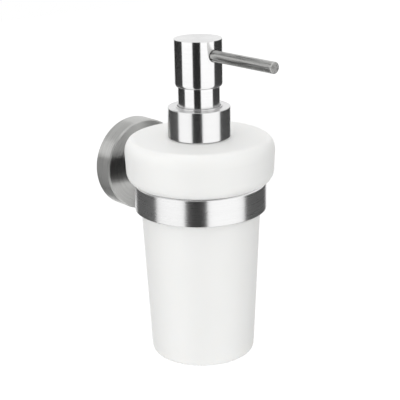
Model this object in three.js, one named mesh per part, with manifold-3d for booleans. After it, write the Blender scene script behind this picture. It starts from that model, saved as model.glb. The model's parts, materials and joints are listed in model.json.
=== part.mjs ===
// Wall mounted soap dispenser: an opal glass vessel in a steel ring on a round rosette, with a hand pump.
// Millimetres, +Z up. The origin is the centre of the wall bracket's back face; the wall is the plane
// y = 0 and the dispenser stands out towards -Y. Heights along the vessel's axis are world heights.
import * as THREE from "three";
import { mergeVertices } from "three/addons/utils/BufferGeometryUtils.js";
import Module from "manifold-3d";

const wasm = await Module();
wasm.setup();

// ---------------------------------------------------------------- driving dimensions
const CLEARANCE = 0.3; // between two pieces that touch on the real object

// facets round one turn
const ROUND_LARGE = 48;
const ROUND_MEDIUM = 32;
const ROUND_SMALL = 24;
const ROUND_SCREW = 16;

// wall rosette and bracket, measured from the wall
const ROSETTE_RADIUS = 27;
const ROSETTE_DEPTH = 12;
const ROSETTE_FACE = 3;
const ROSETTE_SKIRT = 2.4;
const ROSETTE_BEVEL = 0.8;
const BRACKET_PLATE = 3;
const BRACKET_RIM = 3.8;
const BRACKET_GAP = 0.35; // to the rosette's skirt
const BRACKET_GROOVE_DEPTH = 1.4;
const BRACKET_GROOVE_HALF_WIDTH = 1.61;
const BRACKET_GROOVE_HEIGHT = 5;
const WALL_SCREW_SPACING = 26;
const WALL_SCREW_HOLE_RADIUS = 2.6;
const GRUB_SCREW_RADIUS = 2;
const GRUB_SCREW_LENGTH = 3;
const GRUB_SCREW_TIP_RADIUS = 0.4;
const GRUB_SCREW_TIP_GAP = 0.75; // to the groove's bottom; its flanks are nearer
const GRUB_SCREW_CONE = 1.6;
const GRUB_SCREW_SOCKET_RADIUS = 1;
const GRUB_SCREW_SOCKET_DEPTH = 1.3;

// arm between rosette and ring
const ARM_RADIUS = 6;
const ARM_SCREW_RADIUS = 2.5;
const ARM_SCREW_HEAD_RADIUS = 4.4;
const ARM_SCREW_HEAD_HEIGHT = 2.6;
const ARM_SCREW_GRIP = 5;
const ARM_SCREW_SOCKET_RADIUS = 1.7;
const ARM_SCREW_SOCKET_DEPTH = 1.6;
const RING_SCREW_RADIUS = 2;
const RING_SCREW_HEAD_RADIUS = 3.55;
const RING_SCREW_GRIP = 4.5;
const RING_SCREW_SUNK = 0.1; // head below the ring's inner face
const RING_SCREW_SOCKET_RADIUS = 1.15;
const RING_SCREW_SOCKET_DEPTH = 1.3;
const SCREW_BEVEL = 0.6;

// glass vessel; its ring is sized to fit it
const VESSEL_BOTTOM = -101;
const VESSEL_TOP = 26.5;
const VESSEL_BOTTOM_RADIUS = 29.6;
const VESSEL_TAPER = 0.047; // growth of the body's radius for each millimetre of height
const VESSEL_BOTTOM_FILLET = 3;
const VESSEL_WALL = 3.3;
const VESSEL_FLOOR = 4.8;
const SHOULDER_OVERHANG = 4.8; // beyond the ring
const SHOULDER_GAP = 8; // to the rosette's face
const SHOULDER_LOWER_FILLET = 7.5;
const SHOULDER_TOP_FILLET_WIDTH = 5;
const SHOULDER_TOP_FILLET_HEIGHT = 7.7;
const VESSEL_INNER_FILLET = 4;
const VESSEL_MOUTH_BEVEL = 0.8;
const RING_WALL = 1.5;
const RING_TOP = 0.6;
const RING_HEIGHT = 15;
const RING_EDGE = 0.4;
const LINER_WALL = 0.725;
const LINER_INSET = 1; // the liner stops this far above the ring's lower edge

// threaded neck, nut and collar
const COLLAR_WALL = 1.1;
const COLLAR_FOOT_FILLET = 0.8;
const COLLAR_TOP_BEVEL = 0.4;
const COLLAR_BEAD_WIDTH = 0.95;
const COLLAR_BEAD_HEIGHT = 0.6;
const COLLAR_BEAD_BEVEL = 0.3;
const NUT_WALL = 1.1;
const NUT_TOP = 1.3;
const NUT_LAP = 1.25; // how far the nut's top covers the housing's flange
const THREAD_DEPTH = 1.1;
const THREAD_PITCH = 4;
const THREAD_TURNS = 1.5;
const THREAD_CREST = 0.9;
const THREAD_ROOT = 1.8;
const THREAD_EMBED = 0.4; // into the wall that carries it
const NECK_THREAD_LIFT = 1.2; // above the neck's flange
const NUT_THREAD_LIFT = 1; // above the nut's foot
const NUT_THREAD_RELIEF = 0.1;
const NECK_WALL = 2.5;
const NECK_HEIGHT = 11; // above the glass
const NECK_FLANGE_WIDTH = 2.9;
const NECK_FLANGE_HEIGHT = 1.4;
const NECK_INSERT_DEPTH = 7; // into the glass mouth
const NECK_INSERT_STEP = 0.4; // the part in the glass is this much slimmer than the neck
const GASKET_THICKNESS = 1;

// pump; its radii are built up from the stem outwards, and so are those of the neck, nut and collar
const STEM_RADIUS = 3.3;
const STEM_BORE_RADIUS = 1.6;
const STEM_SHOULDER_STEP = 1.3;
const STEM_FOOT_HEIGHT = 2;
const STEM_FOOT_GAP = 1.4; // fluid way round the stem's foot
const STEM_FLOOR = 1.5; // above the foot, under the stem's bore
const STEM_SINK = 2.3; // the stem's top lies this far below the spout's axis
const PORT_RADIUS = 1;
const PORT_LIFT = 2.6; // above the seal's lower edge
const GUIDE_BORE_GAP = 1; // round the stem's shoulder
const GUIDE_SKIRT_WALL = 1.4;
const HOUSING_NECK_GAP = 1.4; // air way between the neck and the housing
const HOUSING_WALL = 1.3;
const HOUSING_FLANGE = 1.4;
const HOUSING_CONE_FLOOR = 1.8; // floor of the housing above its cone
const VENT_RADIUS = 0.8;
const VENT_DROP = 3; // below the flange
const SLEEVE_WALL = 0.8;
const SLEEVE_GAP = 0.35; // to nut and collar
const SLEEVE_LAP = 2.3; // how far the resting head covers the sleeve
const GUIDE_PLATE = 1.5;
const GUIDE_SKIRT = 7.6;
const GUIDE_POST = 7.4;
const GUIDE_POST_WALL = 1.3;
const GUIDE_COLLAR = 4.4;
const GUIDE_COLLAR_WALL = 1.4;
const GUIDE_RIM_INSET = 0.1; // the guide's plate lies this far inside the sleeve's outside
const STROKE = 10.5;
const SEAL_HEIGHT = 7.1;
const SEAL_LIP = 1.2;
const SEAL_LIP_END = 2;
const SEAL_WAIST = 0.8;
const SEAL_SLIP = 1.5; // lost motion of the piston seal on the stem
const SEAL_HEADROOM = 1;
const SEAL_CLEARANCE = 0.2;
const SPRING_BLOCK = 9.5; // room left for the spring at the end of the stroke
const SPRING_WIRE_RADIUS = 0.45;
const SPRING_TURNS = 7.5;
const SPRING_INSET = 1; // from the edge of the stem's foot
const SPRING_END_FLAT = 0.04; // share of the wire that winds close at each end
const SPRING_END_SLOPE = 0.65; // of the mean climb
const BALL_RADIUS = 2;
const BALL_CAGE_GAP = 1;
const BALL_LIFT = 1.6;
const BALL_SEAT_RADIUS = 1.2;
const BALL_GAP = 0.15;
const NUB_LENGTH = 1.8;
const NUB_WIDTH = 1.2;
const NUB_HEIGHT = 0.5;
const NUB_REACH = 1.3; // into the cage
const INLET_LENGTH = 1.7;
const DIP_TUBE_RADIUS = 2.6;
const DIP_TUBE_WALL = 0.9;
const DIP_TUBE_FLOOR_GAP = 2.2;
const DIP_SOCKET_WALL = 1.25;
const DIP_SOCKET_DEPTH = 10;
const GASKET_SETBACK = 0.2; // of the gasket's hole from the neck's bore

// pump head and spout
const HEAD_GAP = 0.45; // the head slides over the sleeve
const HEAD_WALL = 1.2;
const HEAD_TOP = 2;
const HEAD_EDGE = 0.25;
const HEAD_LIP = 0.3; // flat ring left at the cap's mouth
const HEAD_BEVEL = 2; // height of the rounding above it
const HEAD_LIFT = 0.5; // left above the collar when the head is down
const HEAD_RUNNING_GAP = 0.4; // between core and sleeve when the head is down
const CORE_HUB_WALL = 3.4;
const CORE_SOCKET_SINK = 2; // the stem's socket ends this far below the spout's axis
const CORE_CHANNEL_RADIUS = 1.5;
const SPOUT_DROP = 8.1; // spout's axis below the head's top
const SPOUT_SEAT = 1.25; // wall of the core under the spout
const SPOUT_RADIUS = 3.15;
const SPOUT_BORE_RADIUS = 1.9;
const SPOUT_REACH = 59.3; // from the vessel's axis
const SPOUT_ROOT_GAP = 0.9; // between the spout's inner end and the stem
const SPOUT_END_WALL = 2.5;
const SPOUT_END_BEVEL = 0.45;
const OUTLET_RADIUS = 1.3;
const OUTLET_SETBACK = 6;

// ---------------------------------------------------------------- derived sizes and places
const RING_RADIUS = bodyRadius(RING_TOP) + 2 * CLEARANCE + LINER_WALL + RING_WALL;
const RING_BOTTOM = RING_TOP - RING_HEIGHT;
const ARM_HEIGHT = (RING_TOP + RING_BOTTOM) / 2;
const SHOULDER_RADIUS = RING_RADIUS + SHOULDER_OVERHANG;
const SHOULDER_SIDE_TOP = VESSEL_TOP - SHOULDER_TOP_FILLET_HEIGHT;
const AXIS_DISTANCE = ROSETTE_DEPTH + SHOULDER_GAP + SHOULDER_RADIUS;

const STEM_HOLE_RADIUS = STEM_RADIUS + CLEARANCE;
const STEM_SHOULDER_RADIUS = STEM_RADIUS + STEM_SHOULDER_STEP;
const SKIRT_BORE_RADIUS = STEM_SHOULDER_RADIUS + GUIDE_BORE_GAP;
const SKIRT_RADIUS = SKIRT_BORE_RADIUS + GUIDE_SKIRT_WALL;
const HOUSING_BORE_RADIUS = SKIRT_RADIUS + CLEARANCE;
const HOUSING_RADIUS = HOUSING_BORE_RADIUS + HOUSING_WALL;
const NECK_BORE_RADIUS = HOUSING_RADIUS + HOUSING_NECK_GAP;
const NECK_RADIUS = NECK_BORE_RADIUS + NECK_WALL;
const NUT_BORE_RADIUS = NECK_RADIUS + 2 * THREAD_DEPTH + CLEARANCE;
const NUT_RADIUS = NUT_BORE_RADIUS + NUT_WALL;
const COLLAR_RADIUS = NUT_RADIUS + CLEARANCE + COLLAR_WALL; // 17.5, the usual cover of a 28 mm closure

const STEM_FOOT_RADIUS = HOUSING_BORE_RADIUS - STEM_FOOT_GAP;
const SPRING_RADIUS = STEM_FOOT_RADIUS - SPRING_INSET;
const BALL_CAGE_RADIUS = BALL_RADIUS + BALL_CAGE_GAP;
const NECK_INSERT_RADIUS = NECK_RADIUS - NECK_INSERT_STEP;
const VESSEL_MOUTH_RADIUS = NECK_INSERT_RADIUS + CLEARANCE;
const FLANGE_RADIUS = NUT_BORE_RADIUS - THREAD_DEPTH - 2 * CLEARANCE;
const THROAT_RADIUS = FLANGE_RADIUS - NUT_LAP; // hole round the sleeve in nut and collar
const SLEEVE_RADIUS = THROAT_RADIUS - SLEEVE_GAP;
const HEAD_RADIUS = SLEEVE_RADIUS + HEAD_GAP + HEAD_WALL;

const NECK_FOOT = VESSEL_TOP + CLEARANCE;
const NECK_TOP = NECK_FOOT + NECK_HEIGHT;
const GASKET_BOTTOM = NECK_TOP + CLEARANCE;
const FLANGE_BOTTOM = GASKET_BOTTOM + GASKET_THICKNESS + CLEARANCE;
const FLANGE_TOP = FLANGE_BOTTOM + HOUSING_FLANGE;
const GUIDE_FOOT = FLANGE_TOP + CLEARANCE;
const NUT_CEILING = FLANGE_TOP + CLEARANCE;
const NUT_RIM = NUT_CEILING + NUT_TOP;
const COLLAR_TOP = NUT_RIM + CLEARANCE + COLLAR_WALL;
const HEAD_BOTTOM = COLLAR_TOP + COLLAR_BEAD_HEIGHT + STROKE + HEAD_LIFT;
const SLEEVE_TOP = HEAD_BOTTOM + SLEEVE_LAP;
const CORE_SHELF = SLEEVE_TOP + STROKE + HEAD_RUNNING_GAP;
const SPOUT_ROOT = STEM_RADIUS + SPOUT_ROOT_GAP; // from the vessel's axis
const SPOUT_HEIGHT = CORE_SHELF + SPOUT_SEAT + CLEARANCE + SPOUT_RADIUS;
const HEAD_CROWN = SPOUT_HEIGHT + SPOUT_DROP;

const SEAL_TOP = GUIDE_FOOT - GUIDE_SKIRT - SEAL_SLIP - SEAL_HEADROOM;
const SEAL_BOTTOM = SEAL_TOP - SEAL_HEIGHT;
const STEM_FOOT_TOP = SEAL_BOTTOM - CLEARANCE;
const STEM_FOOT_Z = STEM_FOOT_TOP - STEM_FOOT_HEIGHT;
const HOUSING_FLOOR = STEM_FOOT_Z - STROKE - SPRING_BLOCK; // the spring's seat
const DIP_TUBE_END = VESSEL_BOTTOM + VESSEL_FLOOR + DIP_TUBE_FLOOR_GAP;

// The vessel's outer radius below its shoulder.
function bodyRadius(z) {
  return VESSEL_BOTTOM_RADIUS + VESSEL_TAPER * (z - VESSEL_BOTTOM);
}

// ---------------------------------------------------------------- shape helpers
const point = ([radius, height]) => new THREE.Vector2(radius, height);

// A body of revolution about Z; the outline runs anticlockwise in (radius, height).
function turned(outline, facets, closed = false) {
  const loop = closed ? [...outline, outline[0]] : outline;
  return new THREE.LatheGeometry(loop.map(point), facets).rotateX(Math.PI / 2);
}

// Points along an elliptical arc in (radius, height), angles in degrees from +radius.
function arc(centreR, centreZ, radiusR, radiusZ, from, to, steps) {
  return Array.from({ length: steps + 1 }, (_, i) => {
    const a = THREE.MathUtils.degToRad(from + ((to - from) * i) / steps);
    return [centreR + radiusR * Math.cos(a), centreZ + radiusZ * Math.sin(a)];
  });
}

// A cylinder or cone along +Z, from height z0 to z1.
function rod(radius0, radius1, z0, z1, facets) {
  return new THREE.CylinderGeometry(radius1, radius0, z1 - z0, facets)
    .rotateX(Math.PI / 2)
    .translate(0, 0, (z0 + z1) / 2);
}

// The cutter of a hexagon socket along Z.
const hexSocket = (radius, z0, z1) => rod(radius, radius, z0, z1, 6);

// A bar of closed section (radius, height) that winds round Z like a screw thread.
function threadBar(section, turns, pitch, facets) {
  const steps = Math.round(turns * facets);
  const positions = [];
  for (let i = 0; i <= steps; i++) {
    const angle = (2 * Math.PI * i) / facets;
    const rise = (pitch * i) / facets;
    for (const [r, z] of section)
      positions.push(r * Math.cos(angle), r * Math.sin(angle), z + rise);
  }
  const n = section.length;
  const index = [];
  for (let i = 0; i < steps; i++)
    for (let j = 0; j < n; j++) {
      const a = i * n + j;
      const b = i * n + ((j + 1) % n);
      index.push(a, a + n, b, b, a + n, b + n);
    }
  const last = steps * n;
  for (let j = 1; j < n - 1; j++) {
    index.push(0, j, j + 1);
    index.push(last, last + j + 1, last + j);
  }
  return new THREE.BufferGeometry()
    .setAttribute("position", new THREE.Float32BufferAttribute(positions, 3))
    .setIndex(index);
}

function toSolid(geometry) {
  const bare = geometry.clone();
  bare.deleteAttribute("normal");
  bare.deleteAttribute("uv");
  const merged = mergeVertices(bare, 1e-4);
  return new wasm.Manifold(
    new wasm.Mesh({
      numProp: 3,
      vertProperties: new Float32Array(merged.attributes.position.array),
      triVerts: new Uint32Array(merged.index.array),
    }),
  );
}

function toGeometry(solid) {
  const mesh = solid.getMesh();
  const geometry = new THREE.BufferGeometry()
    .setAttribute("position", new THREE.BufferAttribute(mesh.vertProperties, 3))
    .setIndex(new THREE.BufferAttribute(mesh.triVerts, 1));
  geometry.computeVertexNormals();
  return geometry;
}

const cut = (body, ...tools) =>
  toGeometry(tools.reduce((left, tool) => left.subtract(toSolid(tool)), toSolid(body)));
const join = (body, ...more) =>
  toGeometry(more.reduce((sum, piece) => sum.add(toSolid(piece)), toSolid(body)));

// ---------------------------------------------------------------- materials
const finish = (color, roughness, metalness) =>
  new THREE.MeshStandardMaterial({ color, roughness, metalness });
const FINISHES = {
  brushedSteel: () => finish(0xb9b9b7, 0.36, 1),
  polishedSteel: () => finish(0xd6d6d4, 0.1, 1),
  plainSteel: () => finish(0xa2a3a4, 0.3, 1),
  zinc: () => finish(0x9b9c9e, 0.5, 1),
  opalGlass: () => finish(0xf1f1ef, 0.55, 0),
  whitePlastic: () => finish(0xe9e9e6, 0.45, 0),
  clearPlastic: () => finish(0xdfe3e2, 0.3, 0),
  rubber: () => finish(0xc9c9c4, 0.7, 0),
};

function piece(name, geometry, look) {
  const mesh = new THREE.Mesh(geometry, FINISHES[look]());
  mesh.name = name;
  return mesh;
}

// ---------------------------------------------------------------- wall side
// In this group z is the distance from the wall and y is up.
function wallSide() {
  const group = new THREE.Group();
  group.rotation.x = Math.PI / 2;
  const innerDepth = ROSETTE_DEPTH - ROSETTE_FACE;
  const innerRadius = ROSETTE_RADIUS - ROSETTE_SKIRT;
  const bracketRadius = innerRadius - BRACKET_GAP;
  const grooveRadius = bracketRadius - BRACKET_GROOVE_DEPTH;
  const bracketDepth = innerDepth - 2 * CLEARANCE;

  const bracket = turned(
    [
      [0, 0],
      [bracketRadius, 0],
      [bracketRadius, BRACKET_GROOVE_HEIGHT - BRACKET_GROOVE_HALF_WIDTH],
      [grooveRadius, BRACKET_GROOVE_HEIGHT],
      [bracketRadius, BRACKET_GROOVE_HEIGHT + BRACKET_GROOVE_HALF_WIDTH],
      [bracketRadius, bracketDepth],
      [bracketRadius - BRACKET_RIM, bracketDepth],
      [bracketRadius - BRACKET_RIM, BRACKET_PLATE],
      [0, BRACKET_PLATE],
    ],
    ROUND_LARGE,
  );
  const screwHoles = [-1, 1].map((side) =>
    rod(WALL_SCREW_HOLE_RADIUS, WALL_SCREW_HOLE_RADIUS, -1, BRACKET_PLATE + 1, ROUND_SCREW).translate(
      (side * WALL_SCREW_SPACING) / 2,
      0,
      0,
    ),
  );
  group.add(piece("wall_bracket", cut(bracket, ...screwHoles), "zinc"));

  const rosette = turned(
    [
      [0, innerDepth],
      [innerRadius, innerDepth],
      [innerRadius, 0],
      [ROSETTE_RADIUS, 0],
      [ROSETTE_RADIUS, ROSETTE_DEPTH - ROSETTE_BEVEL],
      [ROSETTE_RADIUS - ROSETTE_BEVEL, ROSETTE_DEPTH],
      [0, ROSETTE_DEPTH],
    ],
    ROUND_LARGE,
  );
  const armHole = ARM_SCREW_RADIUS + CLEARANCE;
  const grubHole = GRUB_SCREW_RADIUS + CLEARANCE;
  const toGroove = (geometry) => geometry.rotateX(Math.PI / 2).translate(0, 0, BRACKET_GROOVE_HEIGHT);
  group.add(
    piece(
      "rosette",
      cut(
        rosette,
        rod(armHole, armHole, innerDepth - 1, ROSETTE_DEPTH + 1, ROUND_SCREW).translate(0, ARM_HEIGHT, 0),
        toGroove(rod(grubHole, grubHole, innerRadius - 2, ROSETTE_RADIUS + 1, ROUND_SCREW)),
      ),
      "brushedSteel",
    ),
  );

  // Pointed screw from below, recessed in the skirt, its tip in the bracket's groove.
  const tip = grooveRadius + GRUB_SCREW_TIP_GAP;
  const end = tip + GRUB_SCREW_LENGTH;
  const grub = turned(
    [
      [0, tip],
      [GRUB_SCREW_TIP_RADIUS, tip],
      [GRUB_SCREW_RADIUS, tip + GRUB_SCREW_CONE],
      [GRUB_SCREW_RADIUS, end],
      [0, end],
    ],
    ROUND_SCREW,
  );
  const grubSocket = hexSocket(GRUB_SCREW_SOCKET_RADIUS, end - GRUB_SCREW_SOCKET_DEPTH, end + 1);
  group.add(piece("rosette_grub_screw", toGroove(cut(grub, grubSocket)), "plainSteel"));

  // The arm's front end is hollowed to sit against the ring.
  const armBack = ROSETTE_DEPTH + CLEARANCE;
  const ringCylinder = new THREE.CylinderGeometry(
    RING_RADIUS + CLEARANCE,
    RING_RADIUS + CLEARANCE,
    4 * ARM_RADIUS,
    ROUND_LARGE * 2,
  ).translate(0, 0, AXIS_DISTANCE);
  const armFront = AXIS_DISTANCE - RING_RADIUS;
  const ringBore = RING_SCREW_RADIUS + CLEARANCE;
  const arm = cut(
    rod(ARM_RADIUS, ARM_RADIUS, armBack, armFront + 2, ROUND_MEDIUM),
    ringCylinder,
    rod(armHole, armHole, armBack - 1, armBack + ARM_SCREW_GRIP + CLEARANCE, ROUND_SCREW),
    rod(ringBore, ringBore, armFront - RING_SCREW_GRIP - 2 * CLEARANCE, armFront + 3, ROUND_SCREW),
  );
  group.add(piece("holder_arm", arm.translate(0, ARM_HEIGHT, 0), "brushedSteel"));

  const headTop = innerDepth - CLEARANCE;
  const headBottom = headTop - ARM_SCREW_HEAD_HEIGHT;
  const armScrew = turned(
    [
      [0, headBottom],
      [ARM_SCREW_HEAD_RADIUS - SCREW_BEVEL, headBottom],
      [ARM_SCREW_HEAD_RADIUS, headBottom + SCREW_BEVEL],
      [ARM_SCREW_HEAD_RADIUS, headTop],
      [ARM_SCREW_RADIUS, headTop],
      [ARM_SCREW_RADIUS, armBack + ARM_SCREW_GRIP - SCREW_BEVEL],
      [ARM_SCREW_RADIUS - SCREW_BEVEL, armBack + ARM_SCREW_GRIP],
      [0, armBack + ARM_SCREW_GRIP],
    ],
    ROUND_SCREW,
  );
  const armSocket = hexSocket(ARM_SCREW_SOCKET_RADIUS, headBottom - 1, headBottom + ARM_SCREW_SOCKET_DEPTH);
  group.add(piece("arm_screw", cut(armScrew, armSocket).translate(0, ARM_HEIGHT, 0), "plainSteel"));
  return group;
}

// ---------------------------------------------------------------- ring
// In this group and the ones below, Z is the vessel's axis.
function ringSide() {
  const group = new THREE.Group();
  const inner = RING_RADIUS - RING_WALL;
  const band = turned(
    [
      [inner, RING_BOTTOM],
      [RING_RADIUS - RING_EDGE, RING_BOTTOM],
      [RING_RADIUS, RING_BOTTOM + RING_EDGE],
      [RING_RADIUS, RING_TOP - RING_EDGE],
      [RING_RADIUS - RING_EDGE, RING_TOP],
      [inner, RING_TOP],
    ],
    ROUND_LARGE,
    true,
  );
  // The screw runs from inside the ring towards the wall, that is along +Y.
  const outward = (geometry) => geometry.rotateX(-Math.PI / 2).translate(0, 0, ARM_HEIGHT);
  const hole = RING_SCREW_RADIUS + CLEARANCE;
  const sink = RING_SCREW_HEAD_RADIUS + CLEARANCE;
  const sinkLead = 0.5; // the countersink's cutter starts this far inside the ring
  group.add(
    piece(
      "holder_ring",
      cut(
        band,
        outward(rod(hole, hole, inner - 2, RING_RADIUS + 1, ROUND_SCREW)),
        outward(rod(sink + sinkLead, hole, inner - sinkLead, RING_RADIUS, ROUND_SCREW)),
      ),
      "brushedSteel",
    ),
  );

  const screw = turned(
    [
      [0, inner + RING_SCREW_SUNK],
      [RING_SCREW_HEAD_RADIUS, inner + RING_SCREW_SUNK],
      [RING_SCREW_RADIUS, RING_RADIUS],
      [RING_SCREW_RADIUS, RING_RADIUS + RING_SCREW_GRIP - SCREW_BEVEL],
      [RING_SCREW_RADIUS - SCREW_BEVEL, RING_RADIUS + RING_SCREW_GRIP],
      [0, RING_RADIUS + RING_SCREW_GRIP],
    ],
    ROUND_SCREW,
  );
  const socket = hexSocket(RING_SCREW_SOCKET_RADIUS, inner - 1, inner + RING_SCREW_SOCKET_DEPTH);
  group.add(piece("ring_screw", outward(cut(screw, socket)), "plainSteel"));

  const linerTop = RING_TOP - CLEARANCE;
  const linerBottom = RING_BOTTOM + LINER_INSET;
  const liner = turned(
    [
      [bodyRadius(linerBottom) + CLEARANCE, linerBottom],
      [inner - CLEARANCE, linerBottom],
      [inner - CLEARANCE, linerTop],
      [bodyRadius(linerTop) + CLEARANCE, linerTop],
    ],
    ROUND_LARGE,
    true,
  );
  group.add(piece("ring_liner", liner, "clearPlastic"));
  return group;
}

// ---------------------------------------------------------------- vessel
function vesselSide() {
  const group = new THREE.Group();
  // The shoulder rests on the ring, and its side tapers as the body does.
  const filletZ = RING_TOP + CLEARANCE + SHOULDER_LOWER_FILLET;
  const sideFoot = SHOULDER_RADIUS - VESSEL_TAPER * (SHOULDER_SIDE_TOP - filletZ);
  const filletR = sideFoot - SHOULDER_LOWER_FILLET;
  const ledgeR = bodyRadius(RING_TOP);
  const ledgeAngle = -THREE.MathUtils.radToDeg(Math.acos((ledgeR - filletR) / SHOULDER_LOWER_FILLET));
  const footR = VESSEL_BOTTOM_RADIUS - VESSEL_BOTTOM_FILLET;
  const footZ = VESSEL_BOTTOM + VESSEL_BOTTOM_FILLET;
  const crownR = SHOULDER_RADIUS - SHOULDER_TOP_FILLET_WIDTH;
  const innerFloor = VESSEL_BOTTOM + VESSEL_FLOOR;
  const innerWall = (z) => bodyRadius(z) - VESSEL_WALL;
  const innerFillet = SHOULDER_LOWER_FILLET - VESSEL_WALL;
  const glass = turned(
    [
      [0, VESSEL_BOTTOM],
      ...arc(footR, footZ, VESSEL_BOTTOM_FILLET, VESSEL_BOTTOM_FILLET, -90, 0, 4),
      ...arc(filletR, filletZ, SHOULDER_LOWER_FILLET, SHOULDER_LOWER_FILLET, ledgeAngle, 0, 6),
      ...arc(
        crownR,
        SHOULDER_SIDE_TOP,
        SHOULDER_TOP_FILLET_WIDTH,
        SHOULDER_TOP_FILLET_HEIGHT,
        0,
        90,
        7,
      ),
      [VESSEL_MOUTH_RADIUS + VESSEL_MOUTH_BEVEL, VESSEL_TOP],
      [VESSEL_MOUTH_RADIUS, VESSEL_TOP - VESSEL_MOUTH_BEVEL],
      [VESSEL_MOUTH_RADIUS, VESSEL_TOP - VESSEL_WALL - VESSEL_MOUTH_BEVEL],
      ...arc(
        crownR,
        SHOULDER_SIDE_TOP,
        SHOULDER_TOP_FILLET_WIDTH - VESSEL_WALL,
        SHOULDER_TOP_FILLET_HEIGHT - VESSEL_WALL,
        90,
        0,
        4,
      ),
      ...arc(filletR, filletZ, innerFillet, innerFillet, 0, -80, 4),
      [innerWall(RING_TOP), RING_TOP],
      ...arc(
        innerWall(innerFloor) - VESSEL_INNER_FILLET,
        innerFloor + VESSEL_INNER_FILLET,
        VESSEL_INNER_FILLET,
        VESSEL_INNER_FILLET,
        0,
        -90,
        3,
      ),
      [0, innerFloor],
    ],
    ROUND_LARGE,
  );
  group.add(piece("glass_vessel", glass, "opalGlass"));

  const insert = turned(
    [
      [NECK_BORE_RADIUS, VESSEL_TOP - NECK_INSERT_DEPTH],
      [NECK_INSERT_RADIUS, VESSEL_TOP - NECK_INSERT_DEPTH],
      [NECK_INSERT_RADIUS, NECK_FOOT],
      [NECK_RADIUS + NECK_FLANGE_WIDTH, NECK_FOOT],
      [NECK_RADIUS + NECK_FLANGE_WIDTH, NECK_FOOT + NECK_FLANGE_HEIGHT],
      [NECK_RADIUS, NECK_FOOT + NECK_FLANGE_HEIGHT],
      [NECK_RADIUS, NECK_TOP],
      [NECK_BORE_RADIUS, NECK_TOP],
    ],
    ROUND_MEDIUM,
    true,
  );
  const threadFoot = NECK_FOOT + NECK_FLANGE_HEIGHT + NECK_THREAD_LIFT;
  const thread = threadBar(
    [
      [NECK_RADIUS - THREAD_EMBED, threadFoot],
      [NECK_RADIUS + THREAD_DEPTH, threadFoot + (THREAD_ROOT - THREAD_CREST) / 2],
      [NECK_RADIUS + THREAD_DEPTH, threadFoot + (THREAD_ROOT + THREAD_CREST) / 2],
      [NECK_RADIUS - THREAD_EMBED, threadFoot + THREAD_ROOT],
    ],
    THREAD_TURNS,
    THREAD_PITCH,
    ROUND_MEDIUM,
  );
  group.add(piece("neck_insert", join(insert, thread), "whitePlastic"));
  return group;
}

// ---------------------------------------------------------------- closure
function closureSide() {
  const group = new THREE.Group();
  const nutFoot = NECK_FOOT + NECK_FLANGE_HEIGHT + CLEARANCE;
  const nut = turned(
    [
      [NUT_BORE_RADIUS, nutFoot],
      [NUT_RADIUS, nutFoot],
      [NUT_RADIUS, NUT_RIM],
      [THROAT_RADIUS, NUT_RIM],
      [THROAT_RADIUS, NUT_CEILING],
      [NUT_BORE_RADIUS, NUT_CEILING],
    ],
    ROUND_MEDIUM,
    true,
  );
  const threadFoot = nutFoot + NUT_THREAD_LIFT;
  const crest = NUT_BORE_RADIUS - THREAD_DEPTH + NUT_THREAD_RELIEF;
  const thread = threadBar(
    [
      [crest, threadFoot + (THREAD_ROOT - THREAD_CREST) / 2],
      [NUT_BORE_RADIUS + THREAD_EMBED, threadFoot],
      [NUT_BORE_RADIUS + THREAD_EMBED, threadFoot + THREAD_ROOT],
      [crest, threadFoot + (THREAD_ROOT + THREAD_CREST) / 2],
    ],
    THREAD_TURNS,
    THREAD_PITCH,
    ROUND_MEDIUM,
  );
  group.add(piece("closure_nut", join(nut, thread), "whitePlastic"));

  const inner = COLLAR_RADIUS - COLLAR_WALL;
  const beadR = THROAT_RADIUS + COLLAR_BEAD_WIDTH;
  const shell = turned(
    [
      [inner, NECK_FOOT],
      ...arc(
        COLLAR_RADIUS - COLLAR_FOOT_FILLET,
        NECK_FOOT + COLLAR_FOOT_FILLET,
        COLLAR_FOOT_FILLET,
        COLLAR_FOOT_FILLET,
        -90,
        0,
        3,
      ),
      [COLLAR_RADIUS, COLLAR_TOP - COLLAR_TOP_BEVEL],
      [COLLAR_RADIUS - COLLAR_TOP_BEVEL, COLLAR_TOP],
      [beadR, COLLAR_TOP],
      [beadR - COLLAR_BEAD_BEVEL, COLLAR_TOP + COLLAR_BEAD_HEIGHT],
      [THROAT_RADIUS + COLLAR_BEAD_BEVEL, COLLAR_TOP + COLLAR_BEAD_HEIGHT],
      [THROAT_RADIUS, COLLAR_TOP + COLLAR_BEAD_HEIGHT - COLLAR_BEAD_BEVEL],
      [THROAT_RADIUS, COLLAR_TOP - COLLAR_WALL],
      [inner, COLLAR_TOP - COLLAR_WALL],
    ],
    ROUND_MEDIUM,
    true,
  );
  group.add(piece("collar_shell", shell, "polishedSteel"));
  return group;
}

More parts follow.
